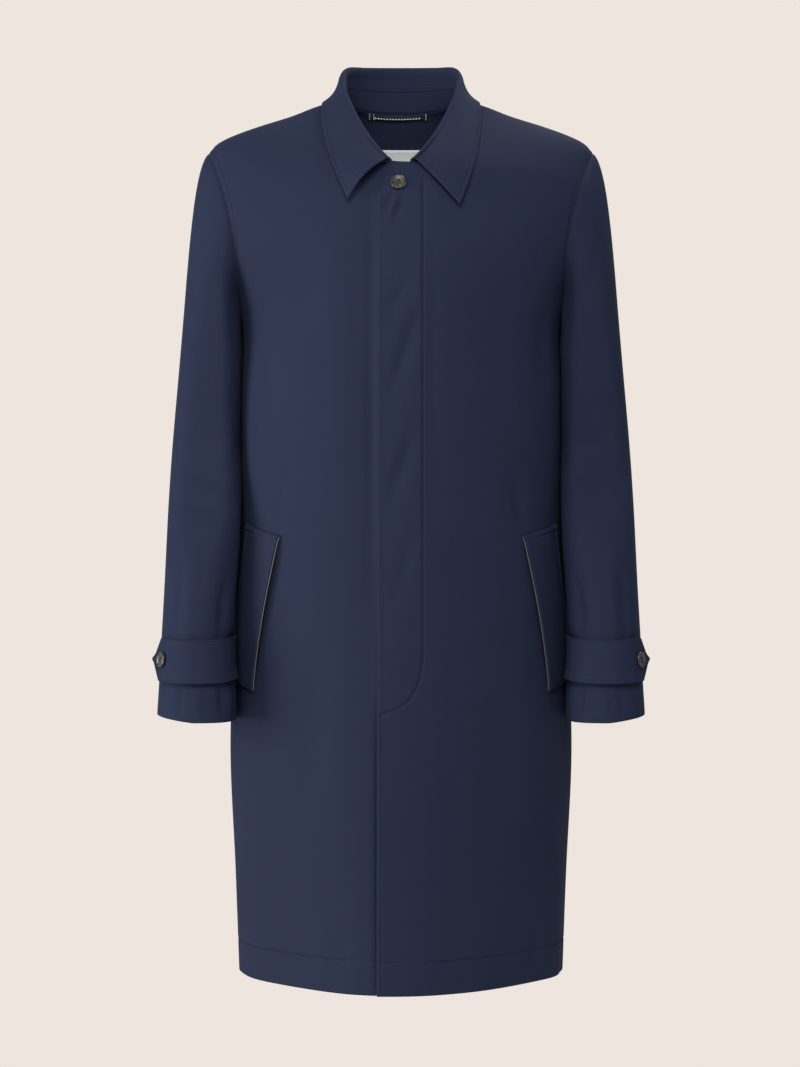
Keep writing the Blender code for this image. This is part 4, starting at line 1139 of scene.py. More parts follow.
def strap_piece(name, side):
    grid = strap_grid()
    lower, upper = reach(grid, 1), reach(grid, 1, True)
    edge = np.minimum(np.minimum(lower, upper), reach(grid, 0, True))
    flare = ridge(lower, *LOWER_FLARE) + ridge(upper, *UPPER_FLARE)
    second = hollow(edge - SECOND_ROW, STITCH_WIDTH, SECOND_ROW_DEPTH)
    lift = flare + stitched_edge(edge, STRAP_STITCH) + second
    return cloth(name, handed(grid, side), lift, flip=side > 0, thick=STRAP_WALL)


strap_left = strap_piece("cloth_cuff_strap_left", 1)
strap_right = strap_piece("cloth_cuff_strap_right", -1)

# %% [markdown]
# ## Loop, tabs and label
# Inside the back neck a narrow tape makes the hanger loop, held by a tab at each end, and a blank
# white label sits below. All are laid on the back's inner face by casting rays at it.

# %% Laying flat pieces inside the back
RAY_PROBE = 0.003
back_surface = surface_of(back)


def hit(x, z):
    """Where a ray from inside the coat meets the back."""
    return back_surface.ray_cast(Vector((x, SIDE_Y, z)), Vector((0, 1, 0)))[0]


def inside_back(x, z, inward):
    """Points in front of the back panel's inner face."""
    shape = np.broadcast(x, z, inward).shape
    places = []
    for px, pz, depth in zip(*(np.broadcast_to(v, shape).reshape(-1) for v in (x, z, inward))):
        place = hit(px, pz)
        lower, across = hit(px, pz - RAY_PROBE), hit(px + RAY_PROBE, pz)
        normal = (lower - place).cross(across - place).normalized()
        normal = normal if normal.y < 0 else -normal
        places.append(place + normal * depth)
    return np.array(places).reshape(*shape, 3)


def plate_piece(name, x_range, z_range, counts, thick):
    """A flat piece that lies on the back's inner face."""
    x = np.linspace(*x_range, counts[0])[None, :]
    z = np.linspace(*z_range, counts[1])[:, None]
    return cloth(name, inside_back(x, z, thick + REST_GAP), thick=thick)


print("inside of the back at the underarm", np.round(inside_back(0.0, UNDERARM_Z, 0.0), 4))

# %% Loop, tabs and label
LOOP_HALF_LENGTH = 0.0265
LOOP_SHIFT_X = -0.0042
LOOP_Z = -0.0083
LOOP_HALF_HEIGHT = 0.0024
LOOP_SAG = 0.0007
LOOP_THICK = 0.0014
LOOP_STAND_OFF = 0.0012
TAB_HALF_WIDTH = 0.0046
TAB_HALF_HEIGHT = 0.0034
TAB_THICK = 0.0012
LABEL_HALF_WIDTH = 0.035
LABEL_TOP_Z = -0.0445
LABEL_BOTTOM_Z = -0.088
LABEL_THICK = 0.0010
LOOP_COUNTS, TAB_COUNTS, LABEL_COUNTS = (49, 9), (13, 9), (41, 21)


def tab_middle(side):
    return LOOP_SHIFT_X + side * (LOOP_HALF_LENGTH + TAB_HALF_WIDTH + REST_GAP)


t = np.linspace(-1, 1, LOOP_COUNTS[0])[None, :]
slack = 1 - t * t
loop_x = LOOP_SHIFT_X + LOOP_HALF_LENGTH * t
loop_z = LOOP_Z - LOOP_SAG * slack + LOOP_HALF_HEIGHT * np.linspace(-1, 1, LOOP_COUNTS[1])[:, None]
loop_grid = inside_back(loop_x, loop_z, LOOP_THICK + REST_GAP + LOOP_STAND_OFF * slack)
hanger_loop = cloth("hanger_loop_tape", loop_grid, thick=LOOP_THICK)
tabs = {}
for side, side_name in SIDES:
    width = (tab_middle(side) - TAB_HALF_WIDTH, tab_middle(side) + TAB_HALF_WIDTH)
    height = (LOOP_Z - TAB_HALF_HEIGHT, LOOP_Z + TAB_HALF_HEIGHT)
    tabs[side] = plate_piece(f"loop_tab_tape_{side_name}", width, height, TAB_COUNTS, TAB_THICK)
width, height = (-LABEL_HALF_WIDTH, LABEL_HALF_WIDTH), (LABEL_BOTTOM_Z, LABEL_TOP_Z)
label = plate_piece("neck_label_white", width, height, LABEL_COUNTS, LABEL_THICK)

# %% [markdown]
# ## Buttons
# A horn button is turned on a lathe: a rim, a shallow dish and drilled holes. A profile spun with
# bmesh and cut by four pins makes it, and two bars of thread hold it.

# %% A turned button
BUTTON_RADIUS = 0.0090
BUTTON_THICK = 0.0032
BUTTON_DISH_RADIUS = 0.0062
BUTTON_DISH_DEPTH = 0.0010
BUTTON_SIDES = 56
# Shares of the radius and thickness, then of the dish's radius and depth.
RIM_PROFILE = (
    (0.0, 0.0), (0.70, 0.0), (0.86, 0.08), (0.97, 0.32), (1.0, 0.52), (0.985, 0.74), (0.94, 0.92),
    (0.87, 1.0), (0.80, 0.985),
)
DISH_PROFILE = ((1.06, 0.30), (0.93, 0.75), (0.78, 1.0), (0.0, 1.0))


def mesh_from(shape, name):
    mesh = bpy.data.meshes.new(name)
    shape.to_mesh(mesh)
    shape.free()
    return mesh


def baked(piece):
    """A plain mesh of what a piece's modifiers make."""
    return bpy.data.meshes.new_from_object(piece.evaluated_get(bpy.context.evaluated_depsgraph_get()))


def button_mesh(name):
    """The button's profile, spun round its axis."""
    profile = [(BUTTON_RADIUS * r, BUTTON_THICK * h) for r, h in RIM_PROFILE]
    profile += [(BUTTON_DISH_RADIUS * r, BUTTON_THICK - BUTTON_DISH_DEPTH * h) for r, h in DISH_PROFILE]
    shape = bmesh.new()
    line = [shape.verts.new((radius, 0, z)) for radius, z in profile]
    edges = [shape.edges.new(pair) for pair in zip(line, line[1:])]
    bmesh.ops.spin(
        shape, geom=line + edges, cent=(0, 0, 0), axis=(0, 0, 1), angle=2 * math.pi, steps=BUTTON_SIDES
    )
    bmesh.ops.remove_doubles(shape, verts=shape.verts, dist=1e-6)
    bmesh.ops.recalc_face_normals(shape, faces=shape.faces)
    return mesh_from(shape, name)


print("buttons are", BUTTON_RADIUS * 2000, "mm across")

# %% Holes and thread
BUTTON_HOLE_RADIUS = 0.0009
BUTTON_HOLE_OFFSET = 0.0017
HOLES, HOLE_SIDES = 4, 16
THREAD_RADIUS = 0.00045
THREAD_APART, THREAD_THIN, THREAD_SIDES = 1.1, 0.6, 8
THREAD_PATH = (
    (-0.10, -1.6), (0.02, -0.2), (0.15, 0.5), (0.5, 0.75), (0.85, 0.5), (0.98, -0.2), (1.10, -1.6),
)


def hole_places():
    for n in range(HOLES):
        angle = math.pi / 4 + n * math.pi / 2
        yield Vector((math.cos(angle), math.sin(angle), 0)) * BUTTON_HOLE_OFFSET * math.sqrt(2)


def drilled(mesh):
    """The button with its four thread holes cut by a boolean."""
    pins = bmesh.new()
    for centre in hole_places():
        bmesh.ops.create_cone(
            pins, cap_ends=True, segments=HOLE_SIDES, radius1=BUTTON_HOLE_RADIUS, radius2=BUTTON_HOLE_RADIUS,
            depth=BUTTON_THICK * 3, matrix=Matrix.Translation(centre),
        )
    blank, cutter = add_piece("blank", mesh), add_piece("pins", mesh_from(pins, "pins"))
    holes = blank.modifiers.new("holes", "BOOLEAN")
    holes.operation = "DIFFERENCE"
    holes.object = cutter
    done = baked(blank)
    for thing in (blank, cutter):
        bpy.data.objects.remove(thing)
    return done


def thread_ring(shape, middle, across):
    """One ring of points round a strand of thread."""
    ring = []
    for n in range(THREAD_SIDES):
        turn = n * 2 * math.pi / THREAD_SIDES
        out = across * math.cos(turn) + Vector((0, 0, 1)) * math.sin(turn)
        ring.append(shape.verts.new(middle + out * THREAD_RADIUS * THREAD_THIN))
    return ring


def thread_mesh(name):
    """Two bars of thread across the dish, each from hole to hole, ending inside the holes."""
    shape = bmesh.new()
    holes = list(hole_places())
    top = BUTTON_THICK - BUTTON_DISH_DEPTH
    for start, end in ((holes[0], holes[1]), (holes[3], holes[2])):
        along = (end - start).normalized()
        across = Vector((-along.y, along.x, 0))
        for strand in (-0.5, 0.5):
            shift = across * THREAD_RADIUS * THREAD_APART * strand
            rings = []
            for t, lift in THREAD_PATH:
                middle = start.lerp(end, t) + shift + Vector((0, 0, top + THREAD_RADIUS * lift))
                rings.append(thread_ring(shape, middle, across))
            for low, high in zip(rings, rings[1:]):
                for n in range(THREAD_SIDES):
                    ahead = (n + 1) % THREAD_SIDES
                    shape.faces.new((low[n], low[ahead], high[ahead], high[n]))
            shape.faces.new(rings[0][::-1])
            shape.faces.new(rings[-1])
    bmesh.ops.recalc_face_normals(shape, faces=shape.faces)
    return mesh_from(shape, name)


print("holes at", [tuple(round(v, 4) for v in place) for place in hole_places()])

# %% Where the buttons sit
NECK_BUTTON_X, NECK_BUTTON_Z = -0.003, -0.116
NECK_BUTTON_GAP = REST_GAP * 1.5
STRAP_BUTTON_FROM_TIP = 0.0205
NECK_SPIN, CUFF_SPINS = 0.45, {1: 0.2, -1: -0.35}
SHARP_DEG = 48


def button_pieces(name, place, normal, spin):
    """A button and its thread, turned to face along the normal."""
    turn = Vector(normal).to_track_quat("Z", "Y").to_matrix().to_4x4()
    where = Matrix.Translation(Vector(place)) @ turn @ Matrix.Rotation(spin, 4, "Z")
    made = []
    for kind, mesh in (("horn", drilled(button_mesh(name))), ("thread", thread_mesh(name + "_thread"))):
        mesh.transform(where)
        mesh.shade_smooth()
        mesh.set_sharp_from_angle(angle=math.radians(SHARP_DEG))
        made.append(add_piece(f"{name}_{kind}", mesh))
    print(name, "at", [round(v, 4) for v in where.translation])
    return made


left_surface = surface_of(front_left)
neck_base, neck_normal, _, _ = left_surface.find_nearest(Vector(on_front(NECK_BUTTON_X, NECK_BUTTON_Z)))
button_neck = button_pieces("button_neck", neck_base + neck_normal * NECK_BUTTON_GAP, neck_normal, NECK_SPIN)
strap_buttons = {}
for side, side_name in SIDES:
    angle = np.array(math.radians(STRAP_LEAVES_DEG))
    past = np.array(STRAP_TAIL - STRAP_BUTTON_FROM_TIP)
    lower, normal = strap_place(angle, past, np.array(0.0), np.array(STRAP_OUT + REST_GAP))
    strap_buttons[side] = button_pieces(
        f"button_cuff_{side_name}", handed(lower, side), handed(normal, side), CUFF_SPINS[side]
    )

# %% [markdown]
# ## Piping and stitches with Geometry Nodes
# What follows a path is a job for Geometry Nodes. The piping sweeps a circle along the welt's mouth.
# A row of stitches is one small spindle, set on the points of a line at the machine's pitch and
# turned to the line's direction and to the cloth's normal. Both trees end in real mesh.

# %% Tree building helpers


class Tree:
    """A Geometry Nodes tree under construction, with named inputs for its sizes."""

    def __init__(self, name, sizes):
        self.group = bpy.data.node_groups.new(name, "GeometryNodeTree")
        face = self.group.interface
        face.new_socket("Geometry", in_out="INPUT", socket_type="NodeSocketGeometry")
        for size in sizes:
            face.new_socket(size, in_out="INPUT", socket_type="NodeSocketFloat")
        face.new_socket("Finish", in_out="INPUT", socket_type="NodeSocketMaterial")
        face.new_socket("Geometry", in_out="OUTPUT", socket_type="NodeSocketGeometry")
        self.given = self.group.nodes.new("NodeGroupInput").outputs

    def node(self, kind, settings=None, links=None):
        made = self.group.nodes.new(kind)
        for key, value in (settings or {}).items():
            setattr(made, key, value)
        for key, value in (links or {}).items():
            if isinstance(value, bpy.types.NodeSocket):
                self.group.links.new(value, made.inputs[key])
            else:
                made.inputs[key].default_value = value
        return made.outputs[0] if made.outputs else None

    def even_line(self, step):
        """The given lines as curves, with their points an even step apart."""
        curve = self.node("GeometryNodeMeshToCurve", links={"Mesh": self.given["Geometry"]})
        links = {"Curve": curve, "Length": self.given[step]}
        return self.node("GeometryNodeResampleCurve", {"mode": "LENGTH"}, links)

    def end(self, geometry):
        """Ends the tree in real, smooth mesh with the given finish."""
        real = self.node("GeometryNodeRealizeInstances", links={"Geometry": geometry})
        smooth = self.node("GeometryNodeSetShadeSmooth", links={"Geometry": real})
        links = {"Geometry": smooth, "Material": self.given["Finish"]}
        self.node("NodeGroupOutput", links={0: self.node("GeometryNodeSetMaterial", links=links)})

    def run(self, name, lines, finish, **sizes):
        """Makes a plain mesh piece by running the tree on lines of (points, normals)."""
        points, edges, normals = [], [], []
        for line, out in lines:
            edges += [(len(points) + n, len(points) + n + 1) for n in range(len(line) - 1)]
            points += [tuple(p) for p in line]
            normals += [tuple(p) for p in out]
        mesh = bpy.data.meshes.new(name + "_path")
        mesh.from_pydata(points, edges, [])
        facing = mesh.attributes.new("facing", "FLOAT_VECTOR", "POINT")
        facing.data.foreach_set("vector", np.array(normals, np.float32).reshape(-1))
        path = add_piece(name + "_path", mesh)
        modifier = path.modifiers.new("tree", "NODES")
        modifier.node_group = self.group
        values = {"finish": finish, **sizes}
        for item in self.group.interface.items_tree:
            if item.in_out == "INPUT" and item.name.lower() in values:
                modifier[item.identifier] = values[item.name.lower()]
        done = baked(path)
        bpy.data.objects.remove(path)
        print(f"{name}: {sum(len(f.vertices) - 2 for f in done.polygons)} triangles on {len(lines)} lines")
        return add_piece(name, done)


print("steps of a tree:", [step for step in vars(Tree) if not step.startswith("_")])

# %% The stitch tree and the piping tree
SPINDLE_SIDES, SPINDLE_RINGS = 6, 4
CORD_SIDES = 12


def stitch_tree():
    """One spindle for each stitch, along the line and flat on the cloth."""
    tree = Tree("stitch_row", ("Pitch", "Length", "Thread"))
    dots = tree.even_line("Pitch")
    along = tree.node("GeometryNodeInputTangent")
    facing = tree.node("GeometryNodeInputNamedAttribute", {"data_type": "FLOAT_VECTOR"}, {"Name": "facing"})
    turn = tree.node("FunctionNodeAlignRotationToVector", {"axis": "X"}, {"Vector": along})
    settings = {"axis": "Z", "pivot_axis": "X"}
    turn = tree.node("FunctionNodeAlignRotationToVector", settings, {"Rotation": turn, "Vector": facing})
    links = {"Segments": SPINDLE_SIDES, "Rings": SPINDLE_RINGS, "Radius": 0.5}
    ball = tree.node("GeometryNodeMeshUVSphere", links=links)
    lying = tree.node("GeometryNodeTransform", links={"Geometry": ball, "Rotation": (0, math.pi / 2, 0)})
    thread = tree.given["Thread"]
    size = tree.node("ShaderNodeCombineXYZ", links={0: tree.given["Length"], 1: thread, 2: thread})
    spindle = tree.node("GeometryNodeTransform", links={"Geometry": lying, "Scale": size})
    links = {"Points": dots, "Instance": spindle, "Rotation": turn}
    tree.end(tree.node("GeometryNodeInstanceOnPoints", links=links))
    return tree


def piping_tree():
    """A round cord along the line."""
    tree = Tree("piping_cord", ("Radius", "Step"))
    links = {"Resolution": CORD_SIDES, "Radius": tree.given["Radius"]}
    ring = tree.node("GeometryNodeCurvePrimitiveCircle", links=links)
    links = {"Curve": tree.even_line("Step"), "Profile Curve": ring, "Fill Caps": True}
    tree.end(tree.node("GeometryNodeCurveToMesh", links=links))
    return tree


stitch_row, piping_cord = stitch_tree(), piping_tree()
print("trees:", [(tree.group.name, len(tree.group.nodes)) for tree in (stitch_row, piping_cord)])

# %% [markdown]
# ## Finishes
# The cloth is a smooth, fine navy weave with a faint bloom. Its threads are drawn in the cut's own
# UVs, so they follow each panel, and soft noise keeps the navy from looking flat. The horn is
# mottled in tan, olive and dark brown. Maths on sockets is written as Python expressions.

# %% Shader maths


class Value:
    """A socket, so that maths on it can be written with operators."""

    def __init__(self, finish, socket):
        self.finish, self.socket = finish, socket

    def maths(self, operation, other, turned=False):
        first, second = (other, self) if turned else (self, other)
        return self.finish.node("ShaderNodeMath", {"operation": operation}, {0: first, 1: second})

    def __add__(self, other):
        return self.maths("ADD", other)

    def __radd__(self, other):
        return self.maths("ADD", other, True)

    def __sub__(self, other):
        return self.maths("SUBTRACT", other)

    def __rsub__(self, other):
        return self.maths("SUBTRACT", other, True)

    def __mul__(self, other):
        return self.maths("MULTIPLY", other)

    def __rmul__(self, other):
        return self.maths("MULTIPLY", other, True)

    def sine(self):
        return self.maths("SINE", 0.0)


class Finish:
    """A material under construction, on its Principled shader."""

    def __init__(self, name, **fixed):
        self.material = bpy.data.materials.new(name)
        self.material.use_nodes = True
        self.tree = self.material.node_tree
        self.shader = self.tree.nodes["Principled BSDF"]
        for key, value in fixed.items():
            self.shader.inputs[key.replace("_", " ")].default_value = value

    def node(self, kind, settings=None, inputs=None, output=0):
        made = self.tree.nodes.new(kind)
        for key, value in (settings or {}).items():
            if key == "stops":
                self.set_stops(made.color_ramp, value)
            else:
                setattr(made, key, value)
        for key, value in (inputs or {}).items():
            if isinstance(value, Value):
                self.tree.links.new(value.socket, made.inputs[key])
            else:
                made.inputs[key].default_value = value
        return Value(self, made.outputs[output])

    @staticmethod
    def set_stops(ramp, stops):
        while len(ramp.elements) < len(stops):
            ramp.elements.new(0.5)
        for element, (place, colour) in zip(ramp.elements, stops):
            element.position = place
            element.color = (*colour, 1.0)

    def noise(self, where, scale, detail=2.0, roughness=0.5):
        inputs = {"Vector": where, "Scale": scale, "Detail": detail, "Roughness": roughness}
        return self.node("ShaderNodeTexNoise", {}, inputs)

    def colours(self, factor, first, second):
        settings = {"data_type": "RGBA"}
        return self.node("ShaderNodeMix", settings, {0: factor, 6: (*first, 1), 7: (*second, 1)}, output=2)

    def set(self, socket, value):
        self.tree.links.new(value.socket, self.shader.inputs[socket])

    def bump(self, height, strength, distance):
        inputs = {"Height": height, "Strength": strength, "Distance": distance}
        self.set("Normal", self.node("ShaderNodeBump", {}, inputs))


print("operators on sockets:", [name for name in vars(Value) if name.startswith("__r")])

# %% Cloth, thread and tape
WEAVE_PITCH, THREAD_PITCH, TAPE_PITCH, FINE_PITCH = 0.00055, 0.0004, 0.0008, 0.0005
NAVY_DEEP, NAVY_LIGHT = (0.0184, 0.0236, 0.0500), (0.0234, 0.0298, 0.0600)
BLOOM = (0.55, 0.62, 0.85, 1.0)
BROAD_SCALE, BROAD_DETAIL, FUZZ_SCALE, FUZZ_DETAIL = 9.0, 3.0, 900.0, 2.0
BROAD_SHARE, FUZZ_SHARE, WEAVE_SHARE = 0.55, 0.35, 0.10
CLOTH_ROUGH, ROUGH_SPREAD = 0.66, 0.16
WEAVE_RELIEF, FUZZ_RELIEF = 0.7, 0.5
RELIEF_STRENGTH, RELIEF_HEIGHT = 0.35, 0.00012


def threads(finish, pitch):
    """A plain weave's height, from the cut's own UVs: warp over weft, turn about."""
    cut = finish.node("ShaderNodeUVMap", {"uv_map": "cut"})
    apart = finish.node("ShaderNodeSeparateXYZ", {}, {0: cut})
    across = Value(finish, apart.socket.node.outputs[0]) * (math.pi / pitch)
    along = Value(finish, apart.socket.node.outputs[1]) * (math.pi / pitch)
    return across.sine() * along.sine()


def cloth_finish(name, deep, light, pitch, **fixed):
    """A woven finish between two colours, with a thread's pitch in metres."""
    finish = Finish(name, **fixed)
    place = finish.node("ShaderNodeTexCoord", {}, {}, output="Object")
    broad = finish.noise(place, BROAD_SCALE, BROAD_DETAIL)
    fuzz = finish.noise(place, FUZZ_SCALE, FUZZ_DETAIL)
    weave = threads(finish, pitch)
    shade = broad * BROAD_SHARE + fuzz * FUZZ_SHARE + weave * WEAVE_SHARE
    finish.set("Base Color", finish.colours(shade, deep, light))
    finish.set("Roughness", CLOTH_ROUGH + fuzz * ROUGH_SPREAD)
    finish.bump(weave * WEAVE_RELIEF + fuzz * FUZZ_RELIEF, RELIEF_STRENGTH, RELIEF_HEIGHT)
    return finish.material


navy = cloth_finish(
    "navy weave", NAVY_DEEP, NAVY_LIGHT, WEAVE_PITCH,
    Specular_IOR_Level=0.06, Sheen_Weight=0.02, Sheen_Roughness=0.45, Sheen_Tint=BLOOM,
)
# The coat's navy thread, drawn darker than the cloth: painted shade in the stitch troughs and on the buttons.
navy_stitch_painted_shade = cloth_finish(
    "navy stitch, painted shade", (0.006, 0.008, 0.019), (0.012, 0.015, 0.032), THREAD_PITCH, Specular_IOR_Level=0.20
)
# The same navy thread, drawn lighter than the cloth: a painted highlight on the trim's stitched ridges.
navy_stitch_painted_highlight = cloth_finish(
    "navy stitch, painted highlight", (0.040, 0.048, 0.090), (0.065, 0.076, 0.130), THREAD_PITCH, Specular_IOR_Level=0.30
)
white_thread = cloth_finish("white thread", (0.84, 0.84, 0.84), (0.92, 0.92, 0.91), THREAD_PITCH)
black_tape = cloth_finish("black tape", (0.006, 0.006, 0.008), (0.020, 0.020, 0.024), TAPE_PITCH)
white_label = cloth_finish(
    "white label", (0.90, 0.91, 0.90), (0.95, 0.96, 0.95), FINE_PITCH, Specular_IOR_Level=0.2
)
beige_piping = cloth_finish("beige piping", (0.100, 0.086, 0.066), (0.182, 0.158, 0.124), FINE_PITCH)
cloths = (navy, navy_stitch_painted_shade, navy_stitch_painted_highlight, white_thread, black_tape, white_label, beige_piping)
print("finishes:", [material.name for material in cloths])

# %% Horn
HORN_STOPS = (
    (0.36, (0.012, 0.011, 0.010)), (0.50, (0.040, 0.033, 0.020)),
    (0.60, (0.095, 0.078, 0.046)), (0.76, (0.260, 0.210, 0.150)),
)
WARP_SCALE, WARP_DETAIL, WARP_REACH = 90.0, 3.0, 0.006
CLOUD_SCALE, CLOUD_DETAIL, CLOUD_ROUGHNESS = 190.0, 5.0, 0.62
GRAIN_SCALE, GRAIN_STRENGTH, GRAIN_HEIGHT = 1400.0, 0.15, 0.00005
HORN_ROUGH, HORN_SPREAD = 0.30, 0.18


def horn_finish():
    """Horn: clouds bent by a second noise, coloured from near black to tan, with a fine grain."""
    finish = Finish("mottled horn", Coat_Weight=0.25, Coat_Roughness=0.18)
    place = finish.node("ShaderNodeTexCoord", {}, {}, output="Object")
    inputs = {"Vector": place, "Scale": WARP_SCALE, "Detail": WARP_DETAIL}
    warp = finish.node("ShaderNodeTexNoise", {}, inputs, output=1)
    inputs = {0: warp, 1: (WARP_REACH,) * 3, 2: place}
    bent = finish.node("ShaderNodeVectorMath", {"operation": "MULTIPLY_ADD"}, inputs)
    cloud = finish.noise(bent, CLOUD_SCALE, CLOUD_DETAIL, CLOUD_ROUGHNESS)
    finish.set("Base Color", finish.node("ShaderNodeValToRGB", {"stops": HORN_STOPS}, {0: cloud}))
    grain = finish.noise(bent, GRAIN_SCALE)
    finish.set("Roughness", HORN_ROUGH + grain * HORN_SPREAD)
    finish.bump(grain, GRAIN_STRENGTH, GRAIN_HEIGHT)
    return finish.material


horn = horn_finish()
print(horn.name, "has", len(horn.node_tree.nodes), "nodes")

# %% [markdown]
# ## Rows of stitches
# Each row is given by places that are then pressed onto the finished cloth, so that every stitch lies
# on the crease or fold under it: the fly, the front edge, the hem, the collar, the welts, the straps
# and the armholes, sewn in navy, and the loop, tabs and label in white. The one navy is drawn in two
# colours: darker than the cloth on the body's rows and the buttons as painted shade, and lighter on the
# trim's rows as a painted highlight.

# %% Laying rows on cloth
THREAD_LIFT = 0.00012


def laid_on(points, surface):
    """A row of points pressed onto a surface, with the surface's normals."""
    line, facing = [], []
    for point in points:
        place, normal, _, _ = surface.find_nearest(Vector(point))
        line.append(place + normal * THREAD_LIFT)
        facing.append(normal)
    return line, facing


print("thread stands", THREAD_LIFT * 1000, "mm off the cloth")

# %% Navy rows on the body
BODY_STITCH = {"pitch": 0.0032, "length": 0.0024, "thread": 0.00075}
EDGE_ROW_TOP_Z, EDGE_ROW_END, EDGE_POINTS = -0.712, 0.003, 160
HEM_END_S, HEM_POINTS = 0.995, 90
STRIP_INSET, STRIP_POINTS = 0.006, 16
ARMHOLE_FROM, ARMHOLE_TO = 0.28, 0.985

right_surface = surface_of(front_right)
rows = [laid_on(on_front(*fly_line()), left_surface)]
edge_x = np.full(EDGE_POINTS, -FLY_EDGE_X + EDGE_STITCH)
edge_z = np.linspace(EDGE_ROW_TOP_Z, HEM_Z + EDGE_ROW_END, EDGE_POINTS)
rows.append(laid_on(on_front(edge_x, edge_z), left_surface))

strip_x = np.linspace(-FLY_EDGE_X + STRIP_INSET, 0, STRIP_POINTS)
rows.append(laid_on(on_front(strip_x, np.full(STRIP_POINTS, HEM_STITCH_Z)), left_surface))
hem_s = np.linspace(0.0, HEM_END_S, HEM_POINTS)
hem_z = np.full(HEM_POINTS, HEM_STITCH_Z)
for side, surface in ((1, left_surface), (-1, right_surface)):
    rows.append(laid_on(lapped(trunk_points("front", hem_s, hem_z, side), side), surface))
    rows.append(laid_on(trunk_points("back", hem_s, hem_z, side), back_surface))

for face, surfaces in (("front", (left_surface, right_surface)), ("back", (back_surface, back_surface))):
    line = inset_line(yoke_grid(face), 1, True, ARMHOLE_STITCH)
    line = line[(rises > ARMHOLE_FROM) & (rises < ARMHOLE_TO)]
    for side, surface in zip((1, -1), surfaces):
        rows.append(laid_on(handed(line, side), surface))

# Fly, edge, hem and armhole rows in the darker navy: painted shade.
body_rows = stitch_row.run("stitches_body", rows, navy_stitch_painted_shade, **BODY_STITCH)

# %% Navy rows on the trim
TRIM_STITCH = {"pitch": 0.0030, "length": 0.0021, "thread": 0.00050}
CORNER_POINTS, END_POINTS = 4, 5
STAND_ROWS, STAND_ROW_END = (0.0020, 0.0062), 12
ACROSS_POINTS, DOWN_POINTS = 40, 80
TIP_POINTS = 4

leaf_surface = surface_of(collar_leaf)
fall_grid = leaf_grid[:, int(leaf_grid.shape[1] * FALL_FROM) + FALL_BLEND:]
outline = inset_line(fall_grid, 1, True, COLLAR_STITCH)
rows = [laid_on(outline[CORNER_POINTS:-CORNER_POINTS], leaf_surface)]
for backwards in (False, True):
    end = inset_line(fall_grid, 0, backwards, COLLAR_STITCH)
    rows.append(laid_on(end[:-END_POINTS], leaf_surface))
for inset in STAND_ROWS:
    line = inset_line(leaf_grid, 1, False, inset)
    rows.append(laid_on(line[STAND_ROW_END:-STAND_ROW_END], leaf_surface))

for side, piece in ((1, welt_left), (-1, welt_right)):
    surface = surface_of(piece)
    grid = welt_grid(side, np.linspace(0, 1, ACROSS_POINTS), np.linspace(0, 1, DOWN_POINTS))
    rows.append(laid_on(inset_line(grid, 0, False, WELT_STITCH), surface))
    rows.append(laid_on(inset_line(grid, 1, True, WELT_SIDE_STITCH), surface))

strap_base = strap_grid()[:-TIP_POINTS]
for side, piece in ((1, strap_left), (-1, strap_right)):
    surface = surface_of(piece)
    for inset in (STRAP_STITCH, SECOND_ROW):
        for backwards in (False, True):
            line = inset_line(strap_base, 1, backwards, inset)
            rows.append(laid_on(handed(line, side), surface))

# Collar, welt and strap rows in the lighter navy: painted highlight.
trim_rows = stitch_row.run("stitches_trim", rows, navy_stitch_painted_highlight, **TRIM_STITCH)

# %% White rows
LOOP_STITCH = {"pitch": 0.0034, "length": 0.0025, "thread": 0.0017}
TACK_STITCH = {"pitch": 0.0022, "length": 0.0020, "thread": 0.0012}
LABEL_STITCH = {"pitch": 0.0025, "length": 0.0019, "thread": 0.0005}
LOOP_ROW = 0.0017
TACK_SHIFTS = {1: (0.0028,), -1: (-0.0022, 0.0030)}
TACK_HALF, TACK_POINTS = 0.0024, 8
LABEL_ROW, LABEL_ROW_END, LABEL_POINTS = 0.0025, 0.002, 60

loop_lines = [laid_on(inset_line(loop_grid, 0, False, LOOP_ROW), surface_of(hanger_loop))]
white_rows = stitch_row.run("stitches_white_loop", loop_lines, white_thread, **LOOP_STITCH)

tack_lines = []
for side, tab in tabs.items():
    for shift in TACK_SHIFTS[side]:
        z = np.linspace(LOOP_Z - TACK_HALF, LOOP_Z + TACK_HALF, TACK_POINTS)
        places = inside_back(tab_middle(side) + shift, z, TAB_THICK + REST_GAP)
        tack_lines.append(laid_on(places, surface_of(tab)))
tack_rows = stitch_row.run("stitches_white_tabs", tack_lines, white_thread, **TACK_STITCH)

label_lines = []
for z in (LABEL_TOP_Z - LABEL_ROW, LABEL_BOTTOM_Z + LABEL_ROW):
    x = np.linspace(-LABEL_HALF_WIDTH + LABEL_ROW_END, LABEL_HALF_WIDTH - LABEL_ROW_END, LABEL_POINTS)
    label_lines.append(laid_on(inside_back(x, z, LABEL_THICK + REST_GAP), surface_of(label)))
label_rows = stitch_row.run("stitches_white_label", label_lines, white_thread, **LABEL_STITCH)

# %% Piping
PIPING_RADIUS, PIPING_FINE = 0.0009, 0.00055
PIPING_LIFT = REST_GAP + PIPING_RADIUS * 1.3
PIPING_CLEAR_DEG = 0.55
PIPING_SPAN, PIPING_STEP = (0.01, 0.99, 60), 0.0020

pipings = {}
for side, side_name in SIDES:
    across = np.array((-PIPING_CLEAR_DEG / WELT_WIDTH_DEG, 0.0))
    base, normals = welt_base(side, across, np.linspace(*PIPING_SPAN))
    line = base[:, 0] + normals[:, 0] * PIPING_LIFT
    lines = [(line, normals[:, 0])]
    name = f"piping_beige_{side_name}"
    pipings[side] = piping_cord.run(name, lines, beige_piping, radius=PIPING_FINE, step=PIPING_STEP)
